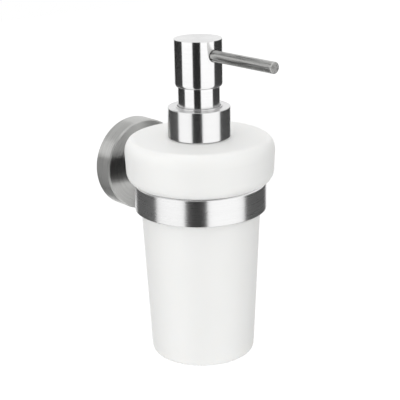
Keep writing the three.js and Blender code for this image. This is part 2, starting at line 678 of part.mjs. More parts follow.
// ---------------------------------------------------------------- pump body
function pumpBody() {
  const group = new THREE.Group();
  group.add(
    piece(
      "neck_gasket",
      turned(
        [
          [NECK_BORE_RADIUS + GASKET_SETBACK, GASKET_BOTTOM],
          [FLANGE_RADIUS, GASKET_BOTTOM],
          [FLANGE_RADIUS, GASKET_BOTTOM + GASKET_THICKNESS],
          [NECK_BORE_RADIUS + GASKET_SETBACK, GASKET_BOTTOM + GASKET_THICKNESS],
        ],
        ROUND_MEDIUM,
        true,
      ),
      "rubber",
    ),
  );

  // At rest the ball lies on the seat's 45 degree cone; above it comes the room to lift, then the nubs.
  const ballRise = (BALL_RADIUS + BALL_GAP) * Math.SQRT2 - BALL_CAGE_RADIUS; // over the cage's floor
  const cageFloor = HOUSING_FLOOR - NUB_HEIGHT - BALL_LIFT - BALL_RADIUS - ballRise;
  const seatBottom = cageFloor - (BALL_CAGE_RADIUS - BALL_SEAT_RADIUS);
  const socketTop = seatBottom - INLET_LENGTH;
  const socketBottom = socketTop - DIP_SOCKET_DEPTH;
  const socketRadius = DIP_TUBE_RADIUS + CLEARANCE;
  const snoutRadius = socketRadius + DIP_SOCKET_WALL;
  const housing = turned(
    [
      [socketRadius, socketBottom],
      [snoutRadius, socketBottom],
      [snoutRadius, seatBottom],
      [HOUSING_RADIUS, HOUSING_FLOOR - HOUSING_CONE_FLOOR],
      [HOUSING_RADIUS, FLANGE_BOTTOM],
      [FLANGE_RADIUS, FLANGE_BOTTOM],
      [FLANGE_RADIUS, FLANGE_TOP],
      [HOUSING_BORE_RADIUS, FLANGE_TOP],
      [HOUSING_BORE_RADIUS, HOUSING_FLOOR],
      [BALL_CAGE_RADIUS, HOUSING_FLOOR],
      [BALL_CAGE_RADIUS, cageFloor],
      [BALL_SEAT_RADIUS, seatBottom],
      [BALL_SEAT_RADIUS, socketTop],
      [socketRadius, socketTop],
    ],
    ROUND_SMALL,
    true,
  );
  // Two nubs at the top of the cage keep the ball in.
  const nubs = [-1, 1].map((side) =>
    new THREE.BoxGeometry(NUB_LENGTH, NUB_WIDTH, NUB_HEIGHT).translate(
      side * (BALL_CAGE_RADIUS - NUB_REACH + NUB_LENGTH / 2),
      0,
      HOUSING_FLOOR - NUB_HEIGHT / 2,
    ),
  );
  const vent = rod(VENT_RADIUS, VENT_RADIUS, 0, HOUSING_RADIUS + 1, 8)
    .rotateY(Math.PI / 2)
    .translate(0, 0, FLANGE_BOTTOM - VENT_DROP);
  const ventedHousing = toGeometry(
    toSolid(housing)
      .subtract(toSolid(vent))
      .add(toSolid(nubs[0]))
      .add(toSolid(nubs[1])),
  );
  group.add(piece("pump_housing", ventedHousing, "clearPlastic"));

  const ball = new THREE.SphereGeometry(BALL_RADIUS, 16, 10)
    .rotateX(Math.PI / 2)
    .translate(0, 0, cageFloor + ballRise);
  group.add(piece("check_ball", ball, "plainSteel"));

  const tube = turned(
    [
      [DIP_TUBE_RADIUS - DIP_TUBE_WALL, DIP_TUBE_END],
      [DIP_TUBE_RADIUS, DIP_TUBE_END],
      [DIP_TUBE_RADIUS, socketTop - CLEARANCE],
      [DIP_TUBE_RADIUS - DIP_TUBE_WALL, socketTop - CLEARANCE],
    ],
    ROUND_SCREW,
    true,
  );
  // The foot of the tube is cut on the slant, so it cannot stick to the floor.
  const cutter = 8 * DIP_TUBE_RADIUS;
  const slantCut = new THREE.BoxGeometry(cutter, cutter, cutter)
    .translate(0, 0, -cutter / 2)
    .rotateY(-Math.PI / 4)
    .translate(-DIP_TUBE_RADIUS, 0, DIP_TUBE_END);
  group.add(piece("dip_tube", cut(tube, slantCut), "clearPlastic"));

  const guideTop = GUIDE_FOOT + GUIDE_PLATE;
  const postRadius = SLEEVE_RADIUS - SLEEVE_WALL - CLEARANCE;
  const guide = turned(
    [
      [SKIRT_BORE_RADIUS, GUIDE_FOOT],
      [SKIRT_BORE_RADIUS, GUIDE_FOOT - GUIDE_SKIRT],
      [SKIRT_RADIUS, GUIDE_FOOT - GUIDE_SKIRT],
      [SKIRT_RADIUS, GUIDE_FOOT],
      [SLEEVE_RADIUS - GUIDE_RIM_INSET, GUIDE_FOOT],
      [SLEEVE_RADIUS - GUIDE_RIM_INSET, guideTop],
      [postRadius, guideTop],
      [postRadius, guideTop + GUIDE_POST],
      [postRadius - GUIDE_POST_WALL, guideTop + GUIDE_POST],
      [postRadius - GUIDE_POST_WALL, guideTop],
      [STEM_HOLE_RADIUS + GUIDE_COLLAR_WALL, guideTop],
      [STEM_HOLE_RADIUS + GUIDE_COLLAR_WALL, guideTop + GUIDE_COLLAR],
      [STEM_HOLE_RADIUS, guideTop + GUIDE_COLLAR],
      [STEM_HOLE_RADIUS, GUIDE_FOOT],
    ],
    ROUND_SMALL,
    true,
  );
  group.add(piece("stem_guide", guide, "whitePlastic"));

  const sleeveFoot = guideTop + CLEARANCE;
  const sleeve = turned(
    [
      [SLEEVE_RADIUS - SLEEVE_WALL, sleeveFoot],
      [SLEEVE_RADIUS, sleeveFoot],
      [SLEEVE_RADIUS, SLEEVE_TOP],
      [SLEEVE_RADIUS - SLEEVE_WALL, SLEEVE_TOP],
    ],
    ROUND_MEDIUM,
    true,
  );
  group.add(piece("guide_sleeve", sleeve, "polishedSteel"));

  group.add(returnSpring());
  return group;
}

// A compression spring with flat closed ends.
class SpringLine extends THREE.Curve {
  constructor(radius, bottom, top, turns) {
    super();
    Object.assign(this, { radius, bottom, top, turns });
  }
  getPoint(t, target = new THREE.Vector3()) {
    const angle = 2 * Math.PI * this.turns * t;
    const middle = THREE.MathUtils.smoothstep(t, SPRING_END_FLAT, 1 - SPRING_END_FLAT);
    const climb = THREE.MathUtils.lerp(middle, t, SPRING_END_SLOPE);
    const z = THREE.MathUtils.lerp(this.bottom, this.top, climb);
    return target.set(this.radius * Math.cos(angle), this.radius * Math.sin(angle), z);
  }
}

function returnSpring() {
  const low = HOUSING_FLOOR + CLEARANCE + SPRING_WIRE_RADIUS;
  const high = STEM_FOOT_Z - CLEARANCE - SPRING_WIRE_RADIUS;
  const wire = new THREE.Shape(arc(0, 0, SPRING_WIRE_RADIUS, SPRING_WIRE_RADIUS, 0, 300, 5).map(point));
  const stepsPerTurn = 10;
  const geometry = new THREE.ExtrudeGeometry(wire, {
    steps: Math.round(SPRING_TURNS * stepsPerTurn),
    extrudePath: new SpringLine(SPRING_RADIUS, low, high, SPRING_TURNS),
    bevelEnabled: false,
  });
  return piece("return_spring", geometry, "plainSteel");
}

// ---------------------------------------------------------------- plunger
function plunger() {
  const group = new THREE.Group();
  const shoulderBottom = SEAL_TOP + SEAL_SLIP + CLEARANCE;
  const shoulderTop = GUIDE_FOOT - CLEARANCE;
  const stemTop = SPOUT_HEIGHT - STEM_SINK;
  const stem = turned(
    [
      [0, STEM_FOOT_Z],
      [STEM_FOOT_RADIUS, STEM_FOOT_Z],
      [STEM_FOOT_RADIUS, STEM_FOOT_TOP],
      [STEM_RADIUS, STEM_FOOT_TOP],
      [STEM_RADIUS, shoulderBottom],
      [STEM_SHOULDER_RADIUS, shoulderBottom],
      [STEM_SHOULDER_RADIUS, shoulderTop],
      [STEM_RADIUS, shoulderTop],
      [STEM_RADIUS, stemTop],
      [STEM_BORE_RADIUS, stemTop],
      [STEM_BORE_RADIUS, STEM_FOOT_TOP + STEM_FLOOR],
      [0, STEM_FOOT_TOP + STEM_FLOOR],
    ],
    ROUND_SMALL,
  );
  const ports = rod(PORT_RADIUS, PORT_RADIUS, -STEM_RADIUS - 1, STEM_RADIUS + 1, 8)
    .rotateY(Math.PI / 2)
    .translate(0, 0, SEAL_BOTTOM + PORT_LIFT);
  group.add(piece("pump_stem", cut(stem, ports), "whitePlastic"));

  const lip = HOUSING_BORE_RADIUS - SEAL_CLEARANCE;
  const waist = lip - SEAL_WAIST;
  const seal = turned(
    [
      [STEM_HOLE_RADIUS, SEAL_BOTTOM],
      [lip, SEAL_BOTTOM],
      [lip, SEAL_BOTTOM + SEAL_LIP],
      [waist, SEAL_BOTTOM + SEAL_LIP_END],
      [waist, SEAL_TOP - SEAL_LIP_END],
      [lip, SEAL_TOP - SEAL_LIP],
      [lip, SEAL_TOP],
      [STEM_HOLE_RADIUS, SEAL_TOP],
    ],
    ROUND_SMALL,
    true,
  );
  group.add(piece("piston_seal", seal, "rubber"));
  return group;
}

// ---------------------------------------------------------------- head
function head() {
  const group = new THREE.Group();
  const inner = HEAD_RADIUS - HEAD_WALL;
  const ceiling = HEAD_CROWN - HEAD_TOP;
  // The spout leaves the head towards -Y.
  const forward = (geometry) => geometry.rotateX(Math.PI / 2).translate(0, 0, SPOUT_HEIGHT);
  const spoutHole = SPOUT_RADIUS + CLEARANCE;
  const cap = turned(
    [
      [inner, HEAD_BOTTOM],
      ...arc(inner + HEAD_LIP, HEAD_BOTTOM + HEAD_BEVEL, HEAD_WALL - HEAD_LIP, HEAD_BEVEL, -90, 0, 4),
      [HEAD_RADIUS, HEAD_CROWN - HEAD_EDGE],
      [HEAD_RADIUS - HEAD_EDGE, HEAD_CROWN],
      [0, HEAD_CROWN],
      [0, ceiling],
      [inner, ceiling],
    ],
    ROUND_MEDIUM,
    true,
  );
  group.add(
    piece(
      "head_cap",
      cut(cap, forward(rod(spoutHole, spoutHole, inner / 2, HEAD_RADIUS + 1, ROUND_MEDIUM))),
      "polishedSteel",
    ),
  );

  const hubRadius = STEM_HOLE_RADIUS + CORE_HUB_WALL;
  const socketTop = SPOUT_HEIGHT - CORE_SOCKET_SINK;
  const coreFoot = GUIDE_FOOT + GUIDE_PLATE + GUIDE_COLLAR + STROKE + 2 * CLEARANCE;
  const core = turned(
    [
      [0, SPOUT_HEIGHT + STEM_BORE_RADIUS],
      [STEM_BORE_RADIUS, SPOUT_HEIGHT + STEM_BORE_RADIUS],
      [STEM_BORE_RADIUS, socketTop],
      [STEM_HOLE_RADIUS, socketTop],
      [STEM_HOLE_RADIUS, coreFoot],
      [hubRadius, coreFoot],
      [hubRadius, CORE_SHELF],
      [inner - CLEARANCE, CORE_SHELF],
      [inner - CLEARANCE, ceiling - CLEARANCE],
      [0, ceiling - CLEARANCE],
    ],
    ROUND_MEDIUM,
  );
  const channel = rod(CORE_CHANNEL_RADIUS, CORE_CHANNEL_RADIUS, 0, SPOUT_ROOT, 12);
  const spoutSocket = rod(spoutHole, spoutHole, SPOUT_ROOT - CLEARANCE, inner + 1, ROUND_SMALL);
  group.add(piece("head_core", cut(core, forward(channel), forward(spoutSocket)), "whitePlastic"));

  const spout = turned(
    [
      [SPOUT_BORE_RADIUS, SPOUT_ROOT],
      [SPOUT_RADIUS, SPOUT_ROOT],
      [SPOUT_RADIUS, SPOUT_REACH - SPOUT_END_BEVEL],
      [SPOUT_RADIUS - SPOUT_END_BEVEL, SPOUT_REACH],
      [0, SPOUT_REACH],
      [0, SPOUT_REACH - SPOUT_END_WALL],
      [SPOUT_BORE_RADIUS, SPOUT_REACH - SPOUT_END_WALL],
    ],
    ROUND_SMALL,
    true,
  );
  const outlet = rod(OUTLET_RADIUS, OUTLET_RADIUS, -SPOUT_RADIUS - 1, 0, 12).translate(
    0,
    -(SPOUT_REACH - OUTLET_SETBACK),
    SPOUT_HEIGHT,
  );
  group.add(piece("spout_tube", cut(forward(spout), outlet), "brushedSteel"));
  return group;
}

// ---------------------------------------------------------------- assembly
const dispenser = new THREE.Group();
const vesselAxis = new THREE.Group();
vesselAxis.position.set(0, -AXIS_DISTANCE, 0);
vesselAxis.add(ringSide(), vesselSide(), closureSide(), pumpBody(), plunger(), head());
dispenser.add(wallSide(), vesselAxis);

export default dispenser;
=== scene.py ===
# %% [markdown]
# # Wall mounted soap dispenser
# An opal glass vessel hangs by its shoulder in a brushed steel ring, which a short arm carries out from a
# round rosette on the wall. A press pump of polished steel stands in the vessel's neck. Nearly every piece of
# it was turned on a lathe or moulded round an axis, so nearly every surface here is a profile spun round an
# axis. The frame gives each piece's place and size, and this lesson adds the fine surfaces and finishes.

# %% Load the frame
import json
import math

import bmesh
import bpy
import numpy as np
from mathutils import Matrix, Vector


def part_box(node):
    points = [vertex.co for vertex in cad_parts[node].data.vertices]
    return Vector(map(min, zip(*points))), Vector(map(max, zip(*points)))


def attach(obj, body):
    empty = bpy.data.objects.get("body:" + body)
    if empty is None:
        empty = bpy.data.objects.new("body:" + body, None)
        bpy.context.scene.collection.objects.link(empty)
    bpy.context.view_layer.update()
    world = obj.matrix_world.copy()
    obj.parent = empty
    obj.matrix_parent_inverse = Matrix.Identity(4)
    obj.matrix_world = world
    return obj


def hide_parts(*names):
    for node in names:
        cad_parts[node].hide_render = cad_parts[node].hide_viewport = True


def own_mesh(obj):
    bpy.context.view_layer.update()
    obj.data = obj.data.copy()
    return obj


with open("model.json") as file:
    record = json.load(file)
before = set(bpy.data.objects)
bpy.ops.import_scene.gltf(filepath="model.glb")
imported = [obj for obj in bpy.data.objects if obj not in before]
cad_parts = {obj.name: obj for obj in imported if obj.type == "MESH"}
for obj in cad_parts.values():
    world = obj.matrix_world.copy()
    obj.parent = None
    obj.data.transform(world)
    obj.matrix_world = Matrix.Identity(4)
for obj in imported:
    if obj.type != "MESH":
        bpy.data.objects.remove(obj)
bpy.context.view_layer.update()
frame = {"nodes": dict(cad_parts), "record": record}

# %% [markdown]
# ## Sizes
# Lengths are in millimetres up to the moment when a mesh is made. Radii and heights are read from the boxes
# of the frame's nodes, so that each fine piece has exactly the size of the plain one that it stands for.

# %% Read sizes from the frame
MM = 0.001


def extent(node):
    """A node's box in millimetres, as its lowest and its highest corner."""
    low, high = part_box(node)
    return np.array(low) / MM, np.array(high) / MM


def radius(node):
    """Half of a node's width, which is the radius of a piece that is round about an upright axis."""
    low, high = extent(node)
    return (high[0] - low[0]) / 2


def heights(node):
    """A node's lowest and highest point."""
    low, high = extent(node)
    return low[2], high[2]


def depth(node):
    """How far a node reaches out from the wall's side of it."""
    low, high = extent(node)
    return high[1] - low[1]


collar_low, collar_high = extent("collar_shell")
AXIS_Y = (collar_low[1] + collar_high[1]) / 2
spout_low, spout_high = extent("spout_tube")
SPOUT_Z = (spout_low[2] + spout_high[2]) / 2
ARM_Z = sum(heights("holder_arm")) / 2
print(f"the vessel's axis is {-AXIS_Y:.1f} mm from the wall, the spout {SPOUT_Z:.1f} mm up")

# %% [markdown]
# ## Profiles
# A turned edge is never knife sharp: the maker breaks it by a tenth of a millimetre or rounds it by two. A
# profile is therefore a list of corners, each with the radius of its rounding. Next to each rounding comes a
# support point close by, which keeps the flat beyond it shading flat. That matters on polished steel, where a
# shading normal that is off by a degree moves a reflection.

# %% Round the corners of a profile
SUPPORT = 0.04  # distance of the support points from a rounding


def rounded(*corners, steps=6):
    """Corners (radius, height, rounding) become a closed outline in (radius, height).
    Each corner is replaced by the arc that touches both of its edges: its centre lies on the corner's
    bisector at rounding / sin(half angle), and the arc runs between the two feet of that centre."""
    corners = np.array(corners, float)
    at, rounding = corners[:, :2], corners[:, 2]
    before = np.roll(at, 1, 0) - at
    after = np.roll(at, -1, 0) - at
    room_before = np.linalg.norm(before, axis=1)
    room_after = np.linalg.norm(after, axis=1)
    before /= room_before[:, None]
    after /= room_after[:, None]
    half = np.arccos(np.clip((before * after).sum(1), -1, 1)) / 2
    reach = np.minimum(rounding / np.tan(half), 0.45 * np.minimum(room_before, room_after))
    size = reach * np.tan(half)
    bisector = before + after
    bisector /= np.maximum(np.linalg.norm(bisector, axis=1), 1e-9)[:, None]
    centre = at + bisector * (size / np.sin(half))[:, None]
    foot_in, foot_out = at + before * reach[:, None], at + after * reach[:, None]
    sweep = (math.pi - 2 * half)[:, None, None]
    t = np.linspace(0, 1, steps + 1)[None, :, None]
    curved = size > 1e-6
    sine = np.where(curved[:, None, None], np.sin(sweep), 1)
    from_in = np.sin((1 - t) * sweep) * (foot_in - centre)[:, None]
    from_out = np.sin(t * sweep) * (foot_out - centre)[:, None]
    arc = centre[:, None] + (from_in + from_out) / sine
    support_in = foot_in + before * np.minimum(SUPPORT, 0.05 * room_before)[:, None]
    support_out = foot_out + after * np.minimum(SUPPORT, 0.05 * room_after)[:, None]
    points = np.concatenate([support_in[:, None], arc, support_out[:, None]], axis=1)
    keep = np.repeat(curved[:, None], steps + 3, axis=1)
    keep[:, 1] = True
    points = np.where(curved[:, None, None], points, at[:, None])
    return points[keep]


print(len(rounded((1, 0, 0.1), (2, 0, 0.1), (2, 1, 0.1), (1, 1, 0.1))), "points round a small square bar")

# %% [markdown]
# ## Spinning a profile
# The lathe's own move: every point of the profile goes round the axis. All points are worked out at once as
# one grid, profile along one side and angle along the other. A point on the axis stays single, and the
# quads beside it become triangles. The UV map holds the angle in turns and the way along the profile, which
# gives brushed steel the direction of its grain.

# %% Spin a profile round the axis
def new_mesh(name, points, faces):
    """A mesh of points, in metres, and faces."""
    mesh = bpy.data.meshes.new(name)
    mesh.from_pydata(points, [], faces)
    return mesh


def spun_grid(outline, steps, warp=None):
    """Grid of (x, y, z) with x = r cos(a) and y = r sin(a). warp may change r and z as functions of the
    angle a, for what is not quite round: a slanted foot, a hexagon socket, a thread."""
    angle = 2 * math.pi * np.arange(steps) / steps
    r = np.repeat(outline[:, :1], steps, axis=1)
    z = np.repeat(outline[:, 1:], steps, axis=1)
    if warp:
        r, z = warp(r, z, angle[None, :])
    return np.stack([r * np.cos(angle), r * np.sin(angle), z], axis=-1)


def spun_mesh(name, outline, steps, place, warp=None):
    """Mesh of the spun outline. Face (i, j) joins points (i, j), (i, j+1), (i+1, j+1) and (i+1, j)."""
    grid = spun_grid(outline, steps, warp)
    rows = len(outline)
    pole = outline[:, 0] < 1e-6
    number = np.arange(rows * steps).reshape(rows, steps)
    number[pole] = number[pole, :1]
    row, col = np.meshgrid(np.arange(rows), np.arange(steps), indexing="ij")
    next_row, next_col = (row + 1) % rows, (col + 1) % steps
    lower = [number[row, col], number[row, next_col]]
    upper = [number[next_row, next_col], number[next_row, col]]
    quads = np.stack(lower + upper, -1)
    step = np.linalg.norm(np.diff(outline, axis=0, append=outline[:1]), axis=1)
    along = np.concatenate([[0], np.cumsum(step)])
    u = np.stack([col, col + 1, col + 1, col], -1) / steps
    v = np.stack([along[row], along[row], along[row + 1], along[row + 1]], -1) / along[-1]
    low, high = pole[row], pole[next_row]
    plain, fan_low, fan_high = ~low & ~high, low & ~high, ~low & high
    corner_sets = [(plain, [0, 1, 2, 3]), (fan_low, [0, 2, 3]), (fan_high, [0, 1, 2])]
    faces, uvs = [], []
    for mask, corners in corner_sets:
        faces += quads[mask][:, corners].tolist()
        uvs.append(np.stack([u[mask][:, corners], v[mask][:, corners]], -1).reshape(-1, 2))
    points = place(grid.reshape(-1, 3)) * MM
    used, compact = np.unique(np.concatenate([np.ravel(f) for f in faces]), return_inverse=True)
    lengths = np.array([len(f) for f in faces])
    split = np.split(compact, np.cumsum(lengths)[:-1])
    mesh = new_mesh(name, points[used].tolist(), [part.tolist() for part in split])
    mesh.uv_layers.new(name="turned").data.foreach_set("uv", np.concatenate(uvs).astype(np.float32).ravel())
    return mesh


def upright(points):
    """Round the vessel's axis: the profile's heights are heights above the frame's origin."""
    return points + (0, AXIS_Y, 0)


def off_the_wall(points):
    """Round the rosette's axis: the profile's heights are distances from the wall."""
    return np.stack([points[:, 0], -points[:, 2], points[:, 1]], axis=-1)


def along_spout(points):
    """Round the spout's axis: the profile's heights are distances from the vessel's axis."""
    return off_the_wall(points) + (0, AXIS_Y, SPOUT_Z)


print("the spout's axis starts at", along_spout(np.zeros((1, 3)))[0], "mm")

# %% [markdown]
# ## From mesh to piece
# A piece rides on a body, takes the place of a plain node and has a finish. Edges that turn by more than
# 25 degrees stay sharp, and all the rest shades smoothly.

# %% Make a piece
SHARP = math.radians(25)
scene = bpy.context.scene
BODY_OF = {node: body for body, nodes in frame["record"]["behaviour"]["bodies"].items() for node in nodes}


def in_scene(name, data):
    """A new object in the scene."""
    made = bpy.data.objects.new(name, data)
    scene.collection.objects.link(made)
    return made


def piece(name, mesh, node, finish):
    """Turns a mesh into a piece that stands for one node of the frame."""
    mesh.shade_smooth()
    mesh.set_sharp_from_angle(angle=SHARP)
    mesh.materials.clear()
    mesh.materials.append(finish)
    made = in_scene(name, mesh)
    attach(made, BODY_OF[node])
    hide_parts(node)
    print(f"{name}: {len(mesh.polygons)} faces")
    return made


def bored(mesh, *cutters):
    """The mesh with other closed meshes cut out of it, as a drill leaves it."""
    body = in_scene("work", mesh)
    tools = [in_scene("drill", cutter) for cutter in cutters]
    for tool in tools:
        cut = body.modifiers.new("drill", "BOOLEAN")
        cut.object = tool
        cut.solver = "EXACT"
    seen = body.evaluated_get(bpy.context.evaluated_depsgraph_get())
    result = bpy.data.meshes.new_from_object(seen)
    for used in [body, *tools]:
        bpy.data.objects.remove(used)
    return result


def drill(size, start, stop, place, steps=48):
    """A cylinder to cut with."""
    outline = np.array([(0, start), (size, start), (size, stop), (0, stop)], float)
    return spun_mesh("drill", outline, steps, place)


# %% [markdown]
# ## Nodes, colours and finishes
# One small function adds a shader node with its settings and links. Colours are written as sRGB hex and
# turned to linear light once, here.

# %% Shader helpers
def linear(hex_colour):
    """sRGB hex to linear RGBA."""
    parts = [int(hex_colour[i : i + 2], 16) / 255 for i in (1, 3, 5)]
    return (*[c / 12.92 if c <= 0.04045 else ((c + 0.055) / 1.055) ** 2.4 for c in parts], 1)


def add(tree, kind, inputs=None, **settings):
    """Adds one shader node. inputs maps a socket's name or number to a value or to a socket to link from."""
    made = tree.nodes.new("ShaderNode" + kind)
    for key, value in settings.items():
        setattr(made, key, value)
    for key, value in (inputs or {}).items():
        if isinstance(value, bpy.types.NodeSocket):
            tree.links.new(value, made.inputs[key])
        else:
            made.inputs[key].default_value = value
    return made


def blank(owner):
    """The node tree of a material or a world, switched on and emptied."""
    owner.use_nodes = True
    owner.node_tree.nodes.clear()
    return owner.node_tree


def new_finish(name, **surface):
    """A material with a Principled surface whose sockets are set, ready for patterns to be linked in."""
    made = bpy.data.materials.new(name)
    tree = blank(made)
    shader = add(tree, "BsdfPrincipled", surface)
    add(tree, "OutputMaterial", {"Surface": shader.outputs["BSDF"]})
    return made, tree, shader


def link_pattern(tree, shader, tone, gloss, bump):
    """Lets a pattern's colour, roughness and relief drive a surface."""
    tree.links.new(tone.outputs[2], shader.inputs["Base Color"])
    tree.links.new(gloss.outputs[0], shader.inputs["Roughness"])
    tree.links.new(bump.outputs[0], shader.inputs["Normal"])


print("#808080 in linear light is", linear("#808080"))

# %% [markdown]
# ## Stainless steel
# Each steel piece is 1.4301 stainless with a different last tool. The pump's parts were turned and buffed,
# so reflections stay crisp round the axis and smear up and down. The ring and the rosette were brushed with
# abrasive belts of about 240 grit while they turned, which smears much more. The spout was drawn through a
# die, and its marks run along it. The grooves are a few hundredths of a millimetre apart; here they are
# drawn several times coarser, because finer ones would vanish in a picture of this size.
#
# The pattern is 3-D noise, squeezed along the grain. For round grain the long coordinate is the way across
# the grooves, height plus 1.6 times radius, so that it works on a cylinder's side and on its flat end alike.
# Anisotropic gloss does the smearing. Its tangent comes from the UV map's angle, and a quarter turn of
# Anisotropic Rotation puts the broad direction across the grooves.

# %% Steel finishes
ROUND_THE_VESSEL = ((0, -AXIS_Y * MM, 0), (0, 0, 0))
ROUND_THE_ROSETTE = ((0, 0, 0), (-math.pi / 2, 0, 0))
ALONG_THE_SPOUT = ((0, -SPOUT_Z * MM, AXIS_Y * MM), (-math.pi / 2, 0, 0))
MARK_LENGTH = 25  # how far a mark runs before it changes
RADIUS_SHARE = 1.6
SMUDGE_SIZE, SMUDGE_SHARE = 14, 0.35  # the slow drift of the gloss that handling leaves


def steel(name, colour, roughness, smear, groove, contrast, relief, where, lengthwise=False):
    """Stainless steel with tool marks. groove is the drawn spacing of the marks in millimetres, contrast how
    much colour and roughness vary from mark to mark, relief the depth of the marks in millimetres."""
    shift, turn = where
    made, tree, shader = new_finish(
        name,
        Metallic=1.0,
        Anisotropic=smear,
        **{"Anisotropic Rotation": 0.0 if lengthwise else 0.25},
    )
    place = add(tree, "TexCoord")
    local = add(tree, "Mapping", {"Vector": place.outputs["Object"], "Location": shift, "Rotation": turn})
    flat = add(tree, "VectorMath", {0: local.outputs[0], 1: (1, 1, 0)}, operation="MULTIPLY")
    ray = add(tree, "VectorMath", {0: flat.outputs[0]}, operation="LENGTH")
    split = add(tree, "SeparateXYZ", {0: local.outputs[0]})
    fine, slow = 1 / (groove * MM), 1 / (MARK_LENGTH * MM)
    if lengthwise:
        grain = add(tree, "VectorMath", {0: local.outputs[0], 1: (fine, fine, slow)}, operation="MULTIPLY")
    else:
        parts = {0: ray.outputs["Value"], 1: RADIUS_SHARE, 2: split.outputs[2]}
        across = add(tree, "Math", parts, operation="MULTIPLY_ADD")
        lined = add(tree, "CombineXYZ", {0: split.outputs[0], 1: split.outputs[1], 2: across.outputs[0]})
        grain = add(tree, "VectorMath", {0: lined.outputs[0], 1: (slow, slow, fine)}, operation="MULTIPLY")
    noise = {"Vector": grain.outputs[0], "Scale": 1.0, "Detail": 3.0, "Roughness": 0.65}
    marks = add(tree, "TexNoise", noise)
    marks = add(tree, "MapRange", {0: marks.outputs["Fac"], 1: 0.3, 2: 0.7})
    cloud = {"Vector": local.outputs[0], "Scale": 1 / (SMUDGE_SIZE * MM), "Detail": 1.0}
    smudge = add(tree, "TexNoise", cloud)
    dark = tuple(c * (1 - contrast) for c in linear(colour)[:3]) + (1,)
    tone = add(tree, "Mix", {0: marks.outputs[0], 6: dark, 7: linear(colour)}, data_type="RGBA")
    parts = {0: smudge.outputs["Fac"], 1: SMUDGE_SHARE, 2: marks.outputs[0]}
    mixed = add(tree, "Math", parts, operation="MULTIPLY_ADD")
    least, most = roughness * (1 - contrast), roughness * (1 + contrast)
    gloss = add(tree, "MapRange", {0: mixed.outputs[0], 1: 0.1, 2: 1.25, 3: least, 4: most})
    bump = add(tree, "Bump", {"Strength": 1.0, "Distance": relief * MM, "Height": marks.outputs[0]})
    tangent = add(tree, "Tangent", direction_type="UV_MAP", uv_map="turned")
    link_pattern(tree, shader, tone, gloss, bump)
    tree.links.new(tangent.outputs[0], shader.inputs["Tangent"])
    return made


# name, colour, roughness, smear, groove, contrast, relief, grain
STEELS = (
    ("turned_and_buffed_stainless", "#e0e0e0", 0.17, 0.8, 0.5, 0.05, 0.0005, ROUND_THE_VESSEL),
    ("turned_satin_stainless", "#dedede", 0.25, 0.85, 0.4, 0.04, 0.0003, ROUND_THE_VESSEL),
    ("belt_brushed_stainless", "#e0e0e0", 0.28, 0.9, 0.4, 0.05, 0.0002, ROUND_THE_VESSEL),
    ("round_brushed_stainless", "#d2d2d0", 0.33, 0.92, 0.6, 0.22, 0.003, ROUND_THE_ROSETTE),
    ("drawn_stainless_tube", "#cfcfcd", 0.36, 0.6, 0.9, 0.42, 0.004, ALONG_THE_SPOUT, True),
)
buffed_steel, satin_steel, ring_steel, rosette_steel, drawn_steel = [steel(*row) for row in STEELS]
print("steel finishes:", [row[0] for row in STEELS])

# %% [markdown]
# ## Opal glass, plastics, silicone and zinc
# The vessel is opal glass: white all through, and etched in acid outside, which leaves a silky surface
# without a clear reflection. Light goes a few millimetres into it and comes out again, so it looks soft, and
# subsurface scattering gives that. The plastics are moulded: their surface carries a faint orange peel.

# %% Cast and moulded finishes
CLOUD_SIZE, CLOUD_DIM = 22, 0.965  # a faint clouding of the colour, in mm and as a share


def cast(name, colour, roughness, grain, relief, vary=0.12, **surface):
    """A finish whose surface is a fine even grain. grain is the grain's size and relief its depth, in mm."""
    made, tree, shader = new_finish(name, **surface)
    place = add(tree, "TexCoord")
    local = place.outputs["Object"]
    noise = add(tree, "TexNoise", {"Vector": local, "Scale": 1 / (grain * MM), "Detail": 3.0})
    cloud = add(tree, "TexNoise", {"Vector": local, "Scale": 1 / (CLOUD_SIZE * MM), "Detail": 2.0})
    dim = tuple(c * CLOUD_DIM for c in linear(colour)[:3]) + (1,)
    tone = add(tree, "Mix", {0: cloud.outputs["Fac"], 6: dim, 7: linear(colour)}, data_type="RGBA")
    least, most = roughness * (1 - vary), roughness * (1 + vary)
    gloss = add(tree, "MapRange", {0: noise.outputs["Fac"], 1: 0.25, 2: 0.75, 3: least, 4: most})
    bump = add(tree, "Bump", {"Strength": 1.0, "Distance": relief * MM, "Height": noise.outputs["Fac"]})
    link_pattern(tree, shader, tone, gloss, bump)
    return made


opal_glass = cast(
    "acid_etched_opal_glass",
    "#f6f6f4",
    0.46,
    0.3,
    0.002,
    IOR=1.5,
    **{"Subsurface Weight": 0.4, "Subsurface Radius": (1.0, 0.95, 0.9), "Subsurface Scale": 4 * MM},
)
white_plastic = cast("moulded_white_polypropylene", "#ececea", 0.4, 0.35, 0.003, IOR=1.49)
natural_plastic = cast(
    "natural_polyethylene", "#e8ecea", 0.34, 0.5, 0.003, IOR=1.51, **{"Transmission Weight": 0.45}
)
silicone = cast(
    "translucent_silicone_rubber", "#d6d6d0", 0.55, 0.25, 0.004, IOR=1.41, **{"Transmission Weight": 0.25}
)
zinc = cast("die_cast_zinc", "#a3a5a7", 0.45, 0.4, 0.012, Metallic=1.0)
screw_steel = cast("cold_headed_stainless", "#b9b9b7", 0.28, 0.3, 0.003, Metallic=1.0)
casts = (opal_glass, white_plastic, natural_plastic, silicone, zinc, screw_steel)
print("cast finishes:", [finish.name for finish in casts])

# %% [markdown]
# ## The glass vessel
# Seen from the side the glass is a gently tapered beaker with a wide shoulder: a round lower edge that sits
# on the ring, a short side that tapers as the body does, and a soft rounding up to the flat top. It was blown
# in a mould, so the outline is smooth: two circles, a quarter ellipse and straight runs between them. Inside
# it repeats itself one wall thickness away. Such a pale glass is left out of reflections, because the steel
# beside it would lose its dark bands in it.

